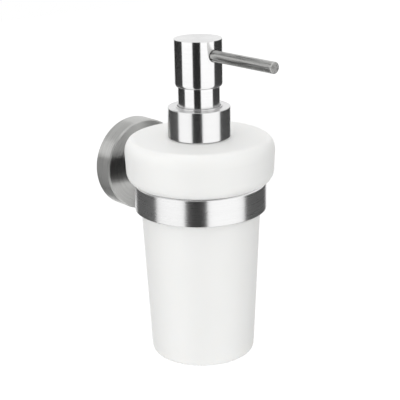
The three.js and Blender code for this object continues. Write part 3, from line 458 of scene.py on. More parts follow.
# %% Vessel
GLASS_WALL = 3.3
GLASS_FLOOR = 4.8
TAPER = 0.047  # growth of the radius for each millimetre of height
SHOULDER_FILLET = 7.5
CROWN_WIDTH, CROWN_HEIGHT = 5.0, 7.7
FOOT_FILLET = 3.0
SHOULDER_REST = 0.05  # from the ring up to the shoulder's lowest point
NECK_STEP = 0.4
FITTING_GAP = 0.3  # between two pieces that touch on the real object


def ellipse(centre, half_axes, start, stop, steps):
    """Points centre + (a cos t, b sin t) with t from start to stop in degrees."""
    t = np.radians(np.linspace(start, stop, steps + 1))
    return np.stack([centre[0] + half_axes[0] * np.cos(t), centre[1] + half_axes[1] * np.sin(t)], -1)


glass_bottom, glass_top = heights("glass_vessel")
shoulder = radius("glass_vessel")
ring_bottom, ring_top = heights("holder_ring")
ring_radius = radius("holder_ring")
RING_WALL = 1.5
liner_radius = radius("ring_liner")
liner_bottom, liner_top = heights("ring_liner")
LINER_WALL = 0.725


def beaker(z):
    """The beaker's outer radius at a height: within the liner at the ring's top, and tapered from there."""
    return liner_radius - LINER_WALL - FITTING_GAP + TAPER * (z - ring_top)


neck_flange_radius = radius("neck_insert")
NECK_FLANGE_WIDTH = 2.9
neck_radius = neck_flange_radius - NECK_FLANGE_WIDTH
mouth_radius = neck_radius - NECK_STEP + FITTING_GAP
crown_centre = (shoulder - CROWN_WIDTH, glass_top - CROWN_HEIGHT)
fillet_height = ring_top + SHOULDER_REST + SHOULDER_FILLET
side_foot = shoulder - TAPER * (crown_centre[1] - fillet_height)
fillet_centre = (side_foot - SHOULDER_FILLET, fillet_height)
ledge_angle = -math.degrees(math.acos((beaker(ring_top) - fillet_centre[0]) / SHOULDER_FILLET))
inner_floor = glass_bottom + GLASS_FLOOR
inner_fillet = SHOULDER_FILLET - GLASS_WALL
foot_centre = (beaker(glass_bottom) - FOOT_FILLET, glass_bottom + FOOT_FILLET)
outside = np.concatenate(
    [
        [(0, glass_bottom), (foot_centre[0] - SUPPORT, glass_bottom)],
        ellipse(foot_centre, (FOOT_FILLET,) * 2, -90, 0, 12),
        [(beaker(z), z) for z in np.linspace(glass_bottom + 2 * FOOT_FILLET, ring_bottom, 8)],
        [(beaker(ring_top - 0.9), ring_top - 0.9)],
        ellipse(fillet_centre, (SHOULDER_FILLET,) * 2, ledge_angle, 0, 20),
        ellipse(crown_centre, (CROWN_WIDTH, CROWN_HEIGHT), 0, 90, 28),
        [(crown_centre[0] - 0.2, glass_top)],
    ]
)
mouth = np.concatenate(
    [
        [(mouth_radius + 1.0, glass_top)],
        ellipse((mouth_radius + 0.8, glass_top - 0.8), (0.8, 0.8), 90, 180, 6),
        ellipse((mouth_radius + 0.6, glass_top - GLASS_WALL - 0.2), (0.6, 0.6), 180, 240, 4),
    ]
)
inside = np.concatenate(
    [
        ellipse(crown_centre, (CROWN_WIDTH - GLASS_WALL, CROWN_HEIGHT - GLASS_WALL), 90, 0, 16),
        ellipse(fillet_centre, (inner_fillet,) * 2, 0, -80, 12),
        [(beaker(z) - GLASS_WALL, z) for z in (ring_top, ring_bottom, -40.0, -70.0)],
        ellipse((beaker(inner_floor) - GLASS_WALL - 4, inner_floor + 4), (4, 4), 0, -90, 10),
        [(0, inner_floor)],
    ]
)
vessel = piece(
    "opal_vessel",
    spun_mesh("opal_vessel", np.concatenate([outside, mouth, inside]), 192, upright),
    "glass_vessel",
    opal_glass,
)
vessel.visible_glossy = False

# %% [markdown]
# ## Ring and rosette
# The ring is a band of 1.5 mm steel, its edges broken by 0.4 mm, with a countersunk hole at the back for the
# screw that holds it on the arm. The rosette is a shallow cap: a 3 mm face and a skirt that slips over the
# bracket, with a small bevel that catches a thin line of light.

# %% Ring, liner and rosette
RING_EDGE = 0.4
ring_inner = ring_radius - RING_WALL
ring_outline = rounded(
    (ring_inner, ring_bottom, 0.15),
    (ring_radius, ring_bottom, RING_EDGE),
    (ring_radius, ring_top, RING_EDGE),
    (ring_inner, ring_top, 0.15),
)


def towards_wall(points):
    """Round the ring screw's axis: the profile's heights are distances from the vessel's axis."""
    return np.stack([points[:, 0], points[:, 2], -points[:, 1]], axis=-1) + (0, AXIS_Y, ARM_Z)


SCREW_HOLE = 2.3
SINK_RADIUS = 3.85
sink = np.array(
    [
        (0, ring_inner - 1),
        (SINK_RADIUS + 1, ring_inner - 1),
        (SINK_RADIUS, ring_inner),
        (SCREW_HOLE, ring_radius),
        (SCREW_HOLE, ring_radius + 1),
        (0, ring_radius + 1),
    ]
)
ring_mesh = bored(spun_mesh("ring", ring_outline, 256, upright), spun_mesh("sink", sink, 48, towards_wall))
piece("steel_ring", ring_mesh, "holder_ring", ring_steel)

liner_outline = rounded(
    (beaker(liner_bottom) + FITTING_GAP, liner_bottom, 0.1),
    (liner_radius, liner_bottom, 0.1),
    (liner_radius, liner_top, 0.1),
    (beaker(liner_top) + FITTING_GAP, liner_top, 0.1),
    steps=3,
)
piece("plastic_liner", spun_mesh("liner", liner_outline, 128, upright), "ring_liner", natural_plastic)

rosette_radius = radius("rosette")
rosette_depth = depth("rosette")
ROSETTE_FACE = 3.0
ROSETTE_SKIRT = 2.4
ROSETTE_BEVEL = 0.8
GRUB_HEIGHT = 5.0
GRUB_HOLE = 2.3
ARM_HOLE = 2.8
skirt = rosette_radius - ROSETTE_SKIRT
rosette_outline = rounded(
    (0, rosette_depth - ROSETTE_FACE, 0),
    (skirt, rosette_depth - ROSETTE_FACE, 0.4),
    (skirt, 0, 0.2),
    (rosette_radius, 0, 0.25),
    (rosette_radius, rosette_depth - ROSETTE_BEVEL, 0.12),
    (rosette_radius - ROSETTE_BEVEL, rosette_depth, 0.12),
    (0, rosette_depth, 0),
)


def at_grub(points):
    """Round the grub screw's axis: heights run down from the rosette's axis."""
    return np.stack([points[:, 0], -points[:, 1] - GRUB_HEIGHT, -points[:, 2]], axis=-1)


def at_arm(points):
    """Round the arm's axis: heights are distances from the wall."""
    return off_the_wall(points) + (0, 0, ARM_Z)


rosette_mesh = bored(
    spun_mesh("rosette", rosette_outline, 256, off_the_wall),
    drill(GRUB_HOLE, skirt - 2, rosette_radius + 1, at_grub),
    drill(ARM_HOLE, rosette_depth - ROSETTE_FACE - 1, rosette_depth + 1, at_arm),
)
piece("steel_rosette", rosette_mesh, "rosette", rosette_steel)

# %% [markdown]
# ## Arm and bracket
# The arm is a 12 mm bar between rosette and ring. Its front end is milled hollow to sit against the ring: at
# a distance x from its middle it ends where the ring's circle is, at axis distance minus the square root of
# R squared minus x squared. The bracket is a zinc casting, screwed to the wall, with a groove round its rim
# that the grub screw bites into.

# %% Arm
arm_radius = radius("holder_arm")
arm_back = -extent("holder_arm")[1][1]
arm_front = -AXIS_Y - ring_radius - FITTING_GAP
ARM_EDGE = 0.3
MILLED = 4  # what lies further than this from the arm's back end moves with its front
REAR_HOLE_DEPTH, FRONT_HOLE_DEPTH = 5.3, 5.1


def saddle_end(r, z, angle):
    """Moves the front end of the arm back to the ring's outside."""
    front = -AXIS_Y - np.sqrt((ring_radius + FITTING_GAP) ** 2 - (r * np.cos(angle)) ** 2)
    return r, np.where(z > arm_back + MILLED, z - arm_front + front, z)


rear_end = rounded(
    (0, arm_back, 0),
    (arm_radius, arm_back, ARM_EDGE),
    (arm_radius, arm_back + 3, 0),
    (0, arm_back + 3, 0),
)[1:-2]
arm_rings = np.linspace(0, arm_radius - ARM_EDGE, 12)
arm_outline = np.concatenate(
    [
        [(0, arm_back)],
        rear_end,
        [(arm_radius, arm_front - ARM_EDGE), (arm_radius - ARM_EDGE, arm_front)],
        [(r, arm_front) for r in arm_rings[::-1]],
    ]
)
arm_mesh = bored(
    spun_mesh("arm", arm_outline, 96, at_arm, saddle_end),
    drill(ARM_HOLE, arm_back - 1, arm_back + REAR_HOLE_DEPTH, at_arm),
    drill(SCREW_HOLE, arm_front - FRONT_HOLE_DEPTH, arm_front + 3, at_arm),
)
piece("steel_arm", arm_mesh, "holder_arm", ring_steel)

# %% Bracket
HOLE_SPACING = 26.0
WALL_HOLE = 2.6
bracket_radius = radius("wall_bracket")
bracket_depth = depth("wall_bracket")
BRACKET_PLATE = 3.0
BRACKET_RIM = 3.8
GROOVE_DEPTH, GROOVE_HALF = 1.4, 1.61
bracket_outline = rounded(
    (0, 0, 0),
    (bracket_radius, 0, 0.25),
    (bracket_radius, GRUB_HEIGHT - GROOVE_HALF, 0.1),
    (bracket_radius - GROOVE_DEPTH, GRUB_HEIGHT, 0.1),
    (bracket_radius, GRUB_HEIGHT + GROOVE_HALF, 0.1),
    (bracket_radius, bracket_depth, 0.4),
    (bracket_radius - BRACKET_RIM, bracket_depth, 0.4),
    (bracket_radius - BRACKET_RIM, BRACKET_PLATE, 0.6),
    (0, BRACKET_PLATE, 0),
    steps=4,
)


def wall_hole(side):
    """A drill for the left or the right wall screw."""
    shift = (side * HOLE_SPACING / 2, 0, 0)
    return drill(WALL_HOLE, -1, BRACKET_PLATE + 1, lambda points: off_the_wall(points) + shift)


bracket_mesh = bored(spun_mesh("bracket", bracket_outline, 128, off_the_wall), wall_hole(-1), wall_hole(1))
piece("zinc_bracket", bracket_mesh, "wall_bracket", zinc)

# %% [markdown]
# ## Reading a hidden piece's profile from the frame
# Screws, seals and the pump's insides are turned or moulded round an axis too, and the frame already knows
# their profiles. Each one is read back from its plain node: a half plane through the axis cuts the node's
# triangles in short lines, which join end to end into the profile. Then its corners get the small rounding
# that a mould or a lathe leaves, and it is spun finely.

# %% Read a profile, spin it again
def section(node, place, degrees=-90.0):
    """Where the half plane at an angle round the axis of place cuts a node, as corners (radius, height).
    An edge from p to q crosses the plane at p + (q - p) s(p) / (s(p) - s(q)), s being the distance to it."""
    mesh = frame["nodes"][node].data
    mesh.calc_loop_triangles()
    at = np.array([v.co for v in mesh.vertices]) / MM
    triangles = np.array([t.vertices for t in mesh.loop_triangles])
    origin = place(np.zeros((1, 3)))
    turn = place(np.eye(3)) - origin
    at = (at - origin) @ turn.T
    angle = math.radians(degrees + 0.02)  # just beside a row of corners, so that no corner lies on the plane
    beside = at @ (-math.sin(angle), math.cos(angle), 0)
    out = at @ (math.cos(angle), math.sin(angle), 0)
    p, q = triangles, np.roll(triangles, -1, 1)
    share = beside[p] / np.where(beside[p] == beside[q], 1, beside[p] - beside[q])
    crossing = np.stack([out[p] + share * (out[q] - out[p]), at[p, 2] + share * (at[q, 2] - at[p, 2])], -1)
    enters, leaves = (beside[p] < 0) & (beside[q] >= 0), (beside[p] >= 0) & (beside[q] < 0)
    cut = enters.any(1)
    start, stop = crossing[cut][enters[cut]], crossing[cut][leaves[cut]]
    near = (start[:, 0] > 0) | (stop[:, 0] > 0)
    start, stop = start[near], stop[near]
    for ends, others in ((start, stop), (stop, start)):  # what runs across the axis ends on it
        over = ends[:, 0] < 0
        part = ends[over, 0] / (ends[over, 0] - others[over, 0])
        ends[over, 1] += part * (others[over, 1] - ends[over, 1])
        ends[over, 0] = 0
    following = np.linalg.norm(stop[:, None] - start[None], axis=-1).argmin(1)
    first = int(start[:, 0].argmin())
    order = [first]
    while following[order[-1]] != first and len(order) < len(start):
        order.append(int(following[order[-1]]))
    loop = start[order]
    if start[first, 0] < 1e-6:
        loop = np.vstack([loop, stop[order[-1]]])
    loop = loop[np.linalg.norm(loop - np.roll(loop, 1, 0), axis=1) > 1e-3]
    before, after = loop - np.roll(loop, 1, 0), np.roll(loop, -1, 0) - loop
    bend = np.abs(before[:, 0] * after[:, 1] - before[:, 1] * after[:, 0])
    bend /= np.linalg.norm(before, axis=1) * np.linalg.norm(after, axis=1)
    loop = loop[bend > 0.02]
    area = (loop[:, 0] * np.roll(loop[:, 1], -1) - np.roll(loop[:, 0], -1) * loop[:, 1]).sum()
    return loop if area > 0 else loop[::-1]


def softened(node, place, rounding, degrees=-90.0):
    """A node's profile with all its corners rounded alike, apart from those on the axis."""
    corners = section(node, place, degrees)
    if (corners[:, 0] < 1e-3).any():
        corners[corners[:, 0] < 1e-3, 0] = 0
        last = int(np.flatnonzero(corners[:, 0] == 0)[-1])
        on_axis = corners[:, 0] == 0
        while not (on_axis[last] and on_axis[(last + 1) % len(corners)]):
            last = (last + 1) % len(corners)
        corners = np.roll(corners, -(last + 1), axis=0)
    size = np.where(corners[:, :1] > 0, rounding, 0)
    return rounded(*np.hstack([corners, size]), steps=3)


print("the piston seal's profile has", len(section("piston_seal", upright)), "corners")

# %% [markdown]
# ## Screws
# A hexagon socket is a round hole whose radius follows a hexagon: the apothem divided by the cosine of the
# angle to the middle of the nearest flat.

# %% Screws
SIXTH = math.pi / 3


def hexagon(corner, low, high):
    """Turns what lies between two heights, within the socket's corner radius, into a hexagon."""

    def warp(r, z, angle):
        flat = np.cos((angle + SIXTH / 2) % SIXTH - SIXTH / 2)
        inside = (r > 0) & (r <= corner + 0.05) & (z > low - 0.05) & (z < high + 0.05)
        return np.where(inside, np.minimum(r, corner) * math.cos(SIXTH / 2) / flat, r), z

    return warp


# node, place, corner radius and depth of the socket, and the end it opens at
SCREWS = (
    ("arm_screw", at_arm, 1.7, 1.6, "low"),
    ("ring_screw", towards_wall, 1.15, 1.3, "low"),
    ("rosette_grub_screw", at_grub, 1.0, 1.3, "high"),
)
for node, place, corner, deep, end in SCREWS:
    profile = softened(node, place, 0.12)
    bottom, top = profile[:, 1].min(), profile[:, 1].max()
    low, high = (bottom, bottom + deep) if end == "low" else (top - deep, top)
    mesh = spun_mesh(node, profile, 48, place, hexagon(corner, low, high))
    piece("steel_" + node, mesh, node, screw_steel)

# %% [markdown]
# ## Collar, sleeve and head
# The pump shows three steel pieces. The collar is a deep drawn cup with a rounded foot and a small bead where
# it was curled round the throat. The sleeve is a plain bright tube. The head is an upturned cup with a crisp
# upper edge, a rounded mouth, and a hole in front for the spout.

# %% Collar and sleeve
COLLAR_WALL = 1.1
COLLAR_FOOT_ROUNDING = 0.8
COLLAR_TOP_ROUNDING = 0.5
BEAD_HEIGHT, BEAD_WIDTH = 0.6, 0.95
SLEEVE_WALL = 0.8
SLEEVE_GAP = 0.35
collar_radius = radius("collar_shell")
collar_foot, bead_top = heights("collar_shell")
collar_top = bead_top - BEAD_HEIGHT
sleeve_radius = radius("guide_sleeve")
sleeve_foot, sleeve_top = heights("guide_sleeve")
throat = sleeve_radius + SLEEVE_GAP
collar_inner = collar_radius - COLLAR_WALL
collar_outline = rounded(
    (collar_inner, collar_foot, 0.1),
    (collar_radius, collar_foot, COLLAR_FOOT_ROUNDING),
    (collar_radius, collar_top, COLLAR_TOP_ROUNDING),
    (throat + BEAD_WIDTH, collar_top, 0.08),
    (throat + BEAD_WIDTH, bead_top, 0.45),
    (throat, bead_top, 0.3),
    (throat, collar_top - COLLAR_WALL, 0.1),
    (collar_inner, collar_top - COLLAR_WALL, 0.6),
)
piece("steel_collar", spun_mesh("collar", collar_outline, 192, upright), "collar_shell", satin_steel)
sleeve_outline = rounded(
    (sleeve_radius - SLEEVE_WALL, sleeve_foot, 0.1),
    (sleeve_radius, sleeve_foot, 0.1),
    (sleeve_radius, sleeve_top, 0.15),
    (sleeve_radius - SLEEVE_WALL, sleeve_top, 0.15),
)
piece("steel_sleeve", spun_mesh("sleeve", sleeve_outline, 160, upright), "guide_sleeve", buffed_steel)

# %% Head
HEAD_WALL = 1.2
HEAD_TOP = 2.0
HEAD_EDGE = 0.25
MOUTH_LIP, MOUTH_ROUNDING = 0.3, 2.0
head_radius = radius("head_cap")
head_foot, head_top = heights("head_cap")
head_inner = head_radius - HEAD_WALL
spout_radius = radius("spout_tube")
mouth_curve = ellipse(
    (head_inner + MOUTH_LIP, head_foot + MOUTH_ROUNDING), (HEAD_WALL - MOUTH_LIP, MOUTH_ROUNDING), -90, 0, 10
)
head_outline = rounded(
    (head_inner, head_foot, 0),
    *[(r, z, 0) for r, z in mouth_curve],
    (head_radius, head_top, HEAD_EDGE),
    (0, head_top, 0),
    (0, head_top - HEAD_TOP, 0),
    (head_inner, head_top - HEAD_TOP, 0.4),
)
spout_hole = drill(spout_radius + FITTING_GAP, head_inner / 2, head_radius + 1, along_spout, 96)
head_mesh = bored(spun_mesh("head", head_outline, 192, upright), spout_hole)
piece("steel_head", head_mesh, "head_cap", buffed_steel)

# %% [markdown]
# ## Spout
# A length of 6.3 mm tube with a plug pressed in at its end and a small outlet hole underneath, so that the
# soap falls straight down. The end face is turned flat with a fine bevel.

# %% Spout
SPOUT_BORE = 1.9
SPOUT_END_WALL = 2.5
SPOUT_END_ROUNDING = 0.5
OUTLET_SETBACK = 6.0
OUTLET_HOLE = 1.3
spout_root, spout_tip = AXIS_Y - spout_high[1], AXIS_Y - spout_low[1]
spout_outline = rounded(
    (SPOUT_BORE, spout_root, 0.1),
    (spout_radius, spout_root, 0.2),
    (spout_radius, spout_tip, SPOUT_END_ROUNDING),
    (0, spout_tip, 0),
    (0, spout_tip - SPOUT_END_WALL, 0),
    (SPOUT_BORE, spout_tip - SPOUT_END_WALL, 0.2),
)


def at_outlet(points):
    """Round the outlet's axis, which runs straight down from the spout's middle."""
    outlet = (0, AXIS_Y - spout_tip + OUTLET_SETBACK, SPOUT_Z)
    return np.stack([points[:, 0], -points[:, 1], -points[:, 2]], axis=-1) + outlet


spout_mesh = bored(
    spun_mesh("spout", spout_outline, 96, along_spout), drill(OUTLET_HOLE, 0, spout_radius + 1, at_outlet)
)
piece("steel_spout", spout_mesh, "spout_tube", drawn_steel)

# %% [markdown]
# ## Neck and nut with their threads
# Under the collar a moulded nut draws the pump down onto the neck. A moulded thread is one and a half turns
# of a low rounded ridge. Here it is part of the spun surface: at each angle the wall's radius grows where the
# height is near the ridge's own height, which climbs by one pitch a turn.

# %% Neck and nut
PITCH = 4.0
THREAD_TURNS = 1.5
THREAD_DEPTH = 1.1
RIDGE_FOOT, RIDGE_CREST = 1.8, 0.9  # widths of the ridge
NECK_WALL = 2.5
NECK_FLANGE = 1.4


def ridge(wall, depth, start):
    """Warp that lifts a threaded ridge of some depth off a wall's radius, from the height start upwards.
    The ridge's middle is at start + pitch * turn, and its flanks fall off in a straight line."""

    def warp(r, z, angle):
        lift = np.zeros_like(r)
        for lap in (0, 1):
            turn = angle / (2 * math.pi) + lap
            middle = start + RIDGE_FOOT / 2 + PITCH * turn
            flank = (RIDGE_FOOT / 2 - np.abs(z - middle)) / ((RIDGE_FOOT - RIDGE_CREST) / 2)
            ends = np.clip(np.minimum(turn, THREAD_TURNS - turn) * 12, 0, 1)
            lift = np.maximum(lift, np.clip(flank, 0, 1) * ends)
        return np.where(np.abs(r - wall) < 0.01, r + depth * lift * lift * (3 - 2 * lift), r), z

    return warp


def with_rows(outline, wall, spacing=0.2):
    """Adds rows to the upright stretches of a profile that lie on a wall, for a warp to bend."""
    after = np.roll(outline, -1, 0)
    on_wall = (np.abs(outline[:, 0] - wall) < 0.01) & (np.abs(after[:, 0] - wall) < 0.01)
    longest = int(np.argmax(np.where(on_wall, np.abs(after[:, 1] - outline[:, 1]), 0)))
    rows = int(abs(after[longest, 1] - outline[longest, 1]) / spacing)
    t = np.linspace(0, 1, rows + 1)[1:-1, None]
    filled = outline[longest] * (1 - t) + after[longest] * t
    return np.vstack([outline[: longest + 1], filled, outline[longest + 1 :]])


neck_foot, neck_top = heights("neck_insert")
neck_bore = neck_radius - NECK_WALL
flange_foot = glass_top + FITTING_GAP
neck_outline = rounded(
    (neck_bore, neck_foot, 0.3),
    (neck_radius - NECK_STEP, neck_foot, 0.5),
    (neck_radius - NECK_STEP, flange_foot, 0.1),
    (neck_flange_radius, flange_foot, 0.3),
    (neck_flange_radius, flange_foot + NECK_FLANGE, 0.3),
    (neck_radius, flange_foot + NECK_FLANGE, 0.2),
    (neck_radius, neck_top, 0.3),
    (neck_bore, neck_top, 0.3),
    steps=4,
)
NECK_THREAD_LIFT = 1.2
neck_thread = ridge(neck_radius, THREAD_DEPTH, flange_foot + NECK_FLANGE + NECK_THREAD_LIFT)
neck_mesh = spun_mesh("neck", with_rows(neck_outline, neck_radius), 144, upright, neck_thread)
piece("threaded_neck", neck_mesh, "neck_insert", white_plastic)

NUT_WALL = 1.1
NUT_TOP = 1.3
NUT_THREAD_LIFT = 1.0
NUT_THREAD_RELIEF = 0.1
nut_radius = radius("closure_nut")
nut_foot, nut_top = heights("closure_nut")
nut_bore = nut_radius - NUT_WALL
nut_outline = rounded(
    (nut_bore, nut_foot, 0.3),
    (nut_radius, nut_foot, 0.3),
    (nut_radius, nut_top, 0.4),
    (throat, nut_top, 0.2),
    (throat, nut_top - NUT_TOP, 0.2),
    (nut_bore, nut_top - NUT_TOP, 0.3),
    steps=4,
)
nut_thread = ridge(nut_bore, NUT_THREAD_RELIEF - THREAD_DEPTH, nut_foot + NUT_THREAD_LIFT)
nut_mesh = spun_mesh("nut", with_rows(nut_outline, nut_bore), 144, upright, nut_thread)
piece("threaded_nut", nut_mesh, "closure_nut", white_plastic)

# %% [markdown]
# ## Insides of the pump
# Housing, guide, stem and seal are moulded round the pump's axis, so their profiles come from the frame. The
# stem has two ports drilled across it, and the housing a vent that lets air into the vessel.

# %% Guide, seal, gasket, stem, housing
def moulded(name, node, finish, rounding=0.2):
    """A piece spun from its node's own profile."""
    mesh = spun_mesh(name, softened(node, upright, rounding), 96, upright)
    return piece(name, mesh, node, finish)


moulded("plastic_guide", "stem_guide", white_plastic)
moulded("rubber_seal", "piston_seal", silicone)
moulded("rubber_gasket", "neck_gasket", silicone, 0.25)


def across(height):
    """Along the X axis through the pump's axis, at a height."""
    return lambda p: np.stack([p[:, 2], p[:, 0], p[:, 1]], axis=-1) + (0, AXIS_Y, height)


PORT = 1.0
PORT_LIFT = 2.6
stem_reach = radius("pump_stem") + 1
stem_mesh = bored(
    spun_mesh("stem", softened("pump_stem", upright, 0.2), 96, upright),
    drill(PORT, -stem_reach, stem_reach, across(heights("piston_seal")[0] + PORT_LIFT), 32),
)
piece("plastic_stem", stem_mesh, "pump_stem", white_plastic)

VENT = 0.8
VENT_DROP = 3.0
HOUSING_FLANGE = 1.4
housing_top = heights("pump_housing")[1]
housing_mesh = bored(
    spun_mesh("housing", softened("pump_housing", upright, 0.2), 96, upright),
    drill(VENT, 0, radius("pump_housing"), across(housing_top - HOUSING_FLANGE - VENT_DROP), 32),
)
piece("plastic_housing", housing_mesh, "pump_housing", natural_plastic)

CORE_CHANNEL = 1.5
core_mesh = bored(
    spun_mesh("core", softened("head_core", upright, 0.2, 90.0), 96, upright),
    drill(CORE_CHANNEL, 0, spout_root, along_spout, 32),
    drill(spout_radius + FITTING_GAP, spout_root - FITTING_GAP, head_inner + 1, along_spout, 64),
)
piece("plastic_core", core_mesh, "head_core", white_plastic)

# %% [markdown]
# ## Tube, spring and ball
# The dip tube is cut on a slant at 45 degrees, so that it cannot stick to the vessel's floor. Its lower edge
# climbs by as much as it goes across: height + x + radius. The return spring is a wire swept along a helix.
# Its first and last turns lie close together, because a real spring is ground flat and sits on them.

# %% Tube, spring and ball
TUBE_WALL = 0.9
tube_radius = radius("dip_tube")
tube_foot, tube_top = heights("dip_tube")


def slant(r, z, angle):
    """Cuts the tube's foot on the slant."""
    return r, np.where(z < tube_foot + 1, z + r * np.cos(angle) + tube_radius, z)


tube_outline = np.array(
    [
        (tube_radius - TUBE_WALL, tube_foot),
        (tube_radius, tube_foot),
        (tube_radius, tube_top - 0.1),
        (tube_radius - 0.1, tube_top),
        (tube_radius - TUBE_WALL + 0.1, tube_top),
        (tube_radius - TUBE_WALL, tube_top - 0.1),
    ]
)
piece("plastic_tube", spun_mesh("tube", tube_outline, 64, upright, slant), "dip_tube", natural_plastic)

WIRE = 0.45
SPRING_TURNS = 7.5
CLOSED_END = 0.04
END_SLOPE = 0.65
spring_radius = radius("return_spring") - WIRE
spring_low, spring_high = heights("return_spring")


def helix_tube(steps, sides):
    """Points of a round wire along a helix: centre(t) + wire * (cos b * outwards + sin b * upwards), where
    outwards and upwards are both at right angles to the helix. The climb is slower at both ends."""
    t = np.linspace(0, 1, steps)
    angle = 2 * math.pi * SPRING_TURNS * t
    middle = np.clip((t - CLOSED_END) / (1 - 2 * CLOSED_END), 0, 1)
    climb = middle**2 * (3 - 2 * middle) * (1 - END_SLOPE) + t * END_SLOPE
    height = spring_low + WIRE + (spring_high - spring_low - 2 * WIRE) * climb
    centre = np.stack([spring_radius * np.cos(angle), spring_radius * np.sin(angle), height], -1)
    along = np.gradient(centre, axis=0)
    along /= np.linalg.norm(along, axis=1)[:, None]
    out = np.stack([np.cos(angle), np.sin(angle), 0 * angle], -1)
    up = np.cross(along, -out)
    b = 2 * math.pi * np.arange(sides) / sides
    ring = np.cos(b)[None, :, None] * out[:, None] + np.sin(b)[None, :, None] * up[:, None]
    return centre[:, None] + WIRE * ring, centre


def spring_mesh(name, steps=420, sides=12):
    """The wire's grid closed by a cap at each end."""
    grid, centre = helix_tube(steps, sides)
    number = np.arange(steps * sides).reshape(steps, sides)
    here, beyond = number[:-1], number[1:]
    quads = np.stack([here, beyond, np.roll(beyond, -1, 1), np.roll(here, -1, 1)], -1).reshape(-1, 4)
    faces = quads.tolist() + [number[0].tolist(), number[-1][::-1].tolist()]
    mesh = new_mesh(name, (upright(grid.reshape(-1, 3)) * MM).tolist(), faces)
    work = bmesh.new()
    work.from_mesh(mesh)
    bmesh.ops.recalc_face_normals(work, faces=work.faces)
    work.to_mesh(mesh)
    work.free()
    return mesh


spring = piece("wire_spring", spring_mesh("spring"), "return_spring", screw_steel)
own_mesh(spring)

ball_low, ball_high = extent("check_ball")
half_turn = ellipse((0, (ball_low[2] + ball_high[2]) / 2), (radius("check_ball"),) * 2, -90, 90, 32)
half_turn[[0, -1], 0] = 0
piece("steel_ball", spun_mesh("ball", half_turn, 64, upright), "check_ball", screw_steel)

# %% Inside the glass
# Light never reaches the pump inside the opal glass, so the steel outside doesn't mirror it either.
INSIDE = (
    "threaded_neck", "rubber_gasket", "plastic_guide", "plastic_stem", "plastic_housing", "plastic_tube",
)
for name in INSIDE:
    bpy.data.objects[name].visible_glossy = False
print("left out of reflections:", INSIDE)

# %% [markdown]
# ## Light
# Polished steel shows its surroundings more than itself, so the surroundings are part of the finish. As in a
# product studio, white panels and dark flags stand round the object, and their upright edges become the bands
# on the pump and on the ring. They are seen by reflections alone. One dark card close behind the vessel is
# painted shade: it stands for the shaded back of the glass, which the rosette mirrors. The glass is lit by an
# even world and two soft lamps, one at the left in front and one above.

# %% World
def is_seen(tree, *rays):
    """A socket that is 1 for camera rays and for the other named rays, and 0 for all the rest."""
    path = add(tree, "LightPath")
    seen = path.outputs["Is Camera Ray"]
    for ray in rays:
        seen = add(tree, "Math", {0: seen, 1: path.outputs[ray]}, operation="MAXIMUM").outputs[0]
    return seen


world = bpy.data.worlds.new("white_studio")
scene.world = world
tree = blank(world)
WORLD_LIGHT = 0.84
seen = is_seen(tree, "Is Glossy Ray", "Is Transmission Ray")
level = add(tree, "MapRange", {0: seen, 3: WORLD_LIGHT, 4: 1.0})
sky = add(tree, "Background", {"Color": (1, 1, 1, 1), "Strength": level.outputs[0]})
add(tree, "OutputWorld", {"Surface": sky.outputs[0]})
print("world light", WORLD_LIGHT, "on the object, 1.0 where it is seen")

# %% Panels and flags
FADE_LOW, FADE_HIGH = -0.32, -0.10


def card(name, distance, start, stop, low, high, upper, lower, steps=32):
    """A card on a circle round the vessel: angles in degrees from -Y towards +X, heights in metres. A card
    that stands on the floor also runs in over it. Cards are seen in reflections only, and one close to the
    vessel only from outside. The brightness fades from upper to lower between the two fade heights."""
    angle = np.radians(np.linspace(start, stop, steps))
    rows = [(distance, high), (distance, low)] + [(0.1, low)] * (low < -0.5)
    out, height = np.array(rows[::-1]).T
    points = np.stack(
        [
            out[:, None] * np.sin(angle),
            AXIS_Y * MM - out[:, None] * np.cos(angle),
            np.repeat(height[:, None], steps, axis=1),
        ],
        axis=-1,
    ).reshape(-1, 3)
    row, i = np.meshgrid(np.arange(len(rows) - 1) * steps, np.arange(steps - 1), indexing="ij")
    first = (row + i).ravel()
    faces = np.stack([first, first + 1, first + 1 + steps, first + steps], -1)
    mesh = new_mesh(name, points.tolist(), faces.tolist())
    made = in_scene(name, mesh)
    paint = bpy.data.materials.new(name)
    tree = blank(paint)
    place = add(tree, "TexCoord")
    split = add(tree, "SeparateXYZ", {0: place.outputs["Object"]})
    span = {0: split.outputs[2], 1: FADE_LOW, 2: FADE_HIGH, 3: lower, 4: upper}
    fade = add(tree, "MapRange", span)
    glow = add(tree, "Emission", {"Color": (1, 1, 1, 1), "Strength": fade.outputs[0]})
    side = add(tree, "NewGeometry")
    clear = add(tree, "BsdfTransparent")
    # The card close to the vessel is painted shade: a dark sheet for the shaded back of the glass, seen from
    # outside only.
    near = 1.0 if distance < 0.1 else 0.0
    hide = add(tree, "Math", {0: side.outputs["Backfacing"], 1: near}, operation="MULTIPLY")
    shown = add(tree, "MixShader", {0: hide.outputs[0], 1: glow.outputs[0], 2: clear.outputs[0]})
    add(tree, "OutputMaterial", {"Surface": shown.outputs[0]})
    mesh.materials.append(paint)
    made.visible_camera = made.visible_diffuse = made.visible_shadow = made.visible_transmission = False


STUDIO = 0.9
CARDS = (
    ("flag_behind_left", STUDIO, -188, -122, -0.98, 0.12, 0.02, 0.14),
    ("panel_left", STUDIO, -122, -67.5, -0.98, 0.5, 1.38, 1.22),
    ("flag_at_camera", STUDIO, -67.5, -30, -0.98, 1.2, 0.02, 0.05),
    ("panel_right", STUDIO, -30, 39, -0.98, 0.5, 1.38, 1.28),
    ("flag_right", STUDIO, 39, 111, -0.98, 0.3, 0.04, 0.14),
    ("flag_above", STUDIO, -205, -130, 0.66, 1.05, 0.15, 0.15),
    # Painted shade: a dark card close round the vessel's back, seen only in reflections, stands for the
    # glass's shaded back in the gap to the rosette.
    ("flag_in_the_gap", 0.0435, -200, -115, -0.010, 0.008, 0.02, 0.02),
)
for settings in CARDS:
    card(*settings)
print(len(CARDS), "cards stand round the object")

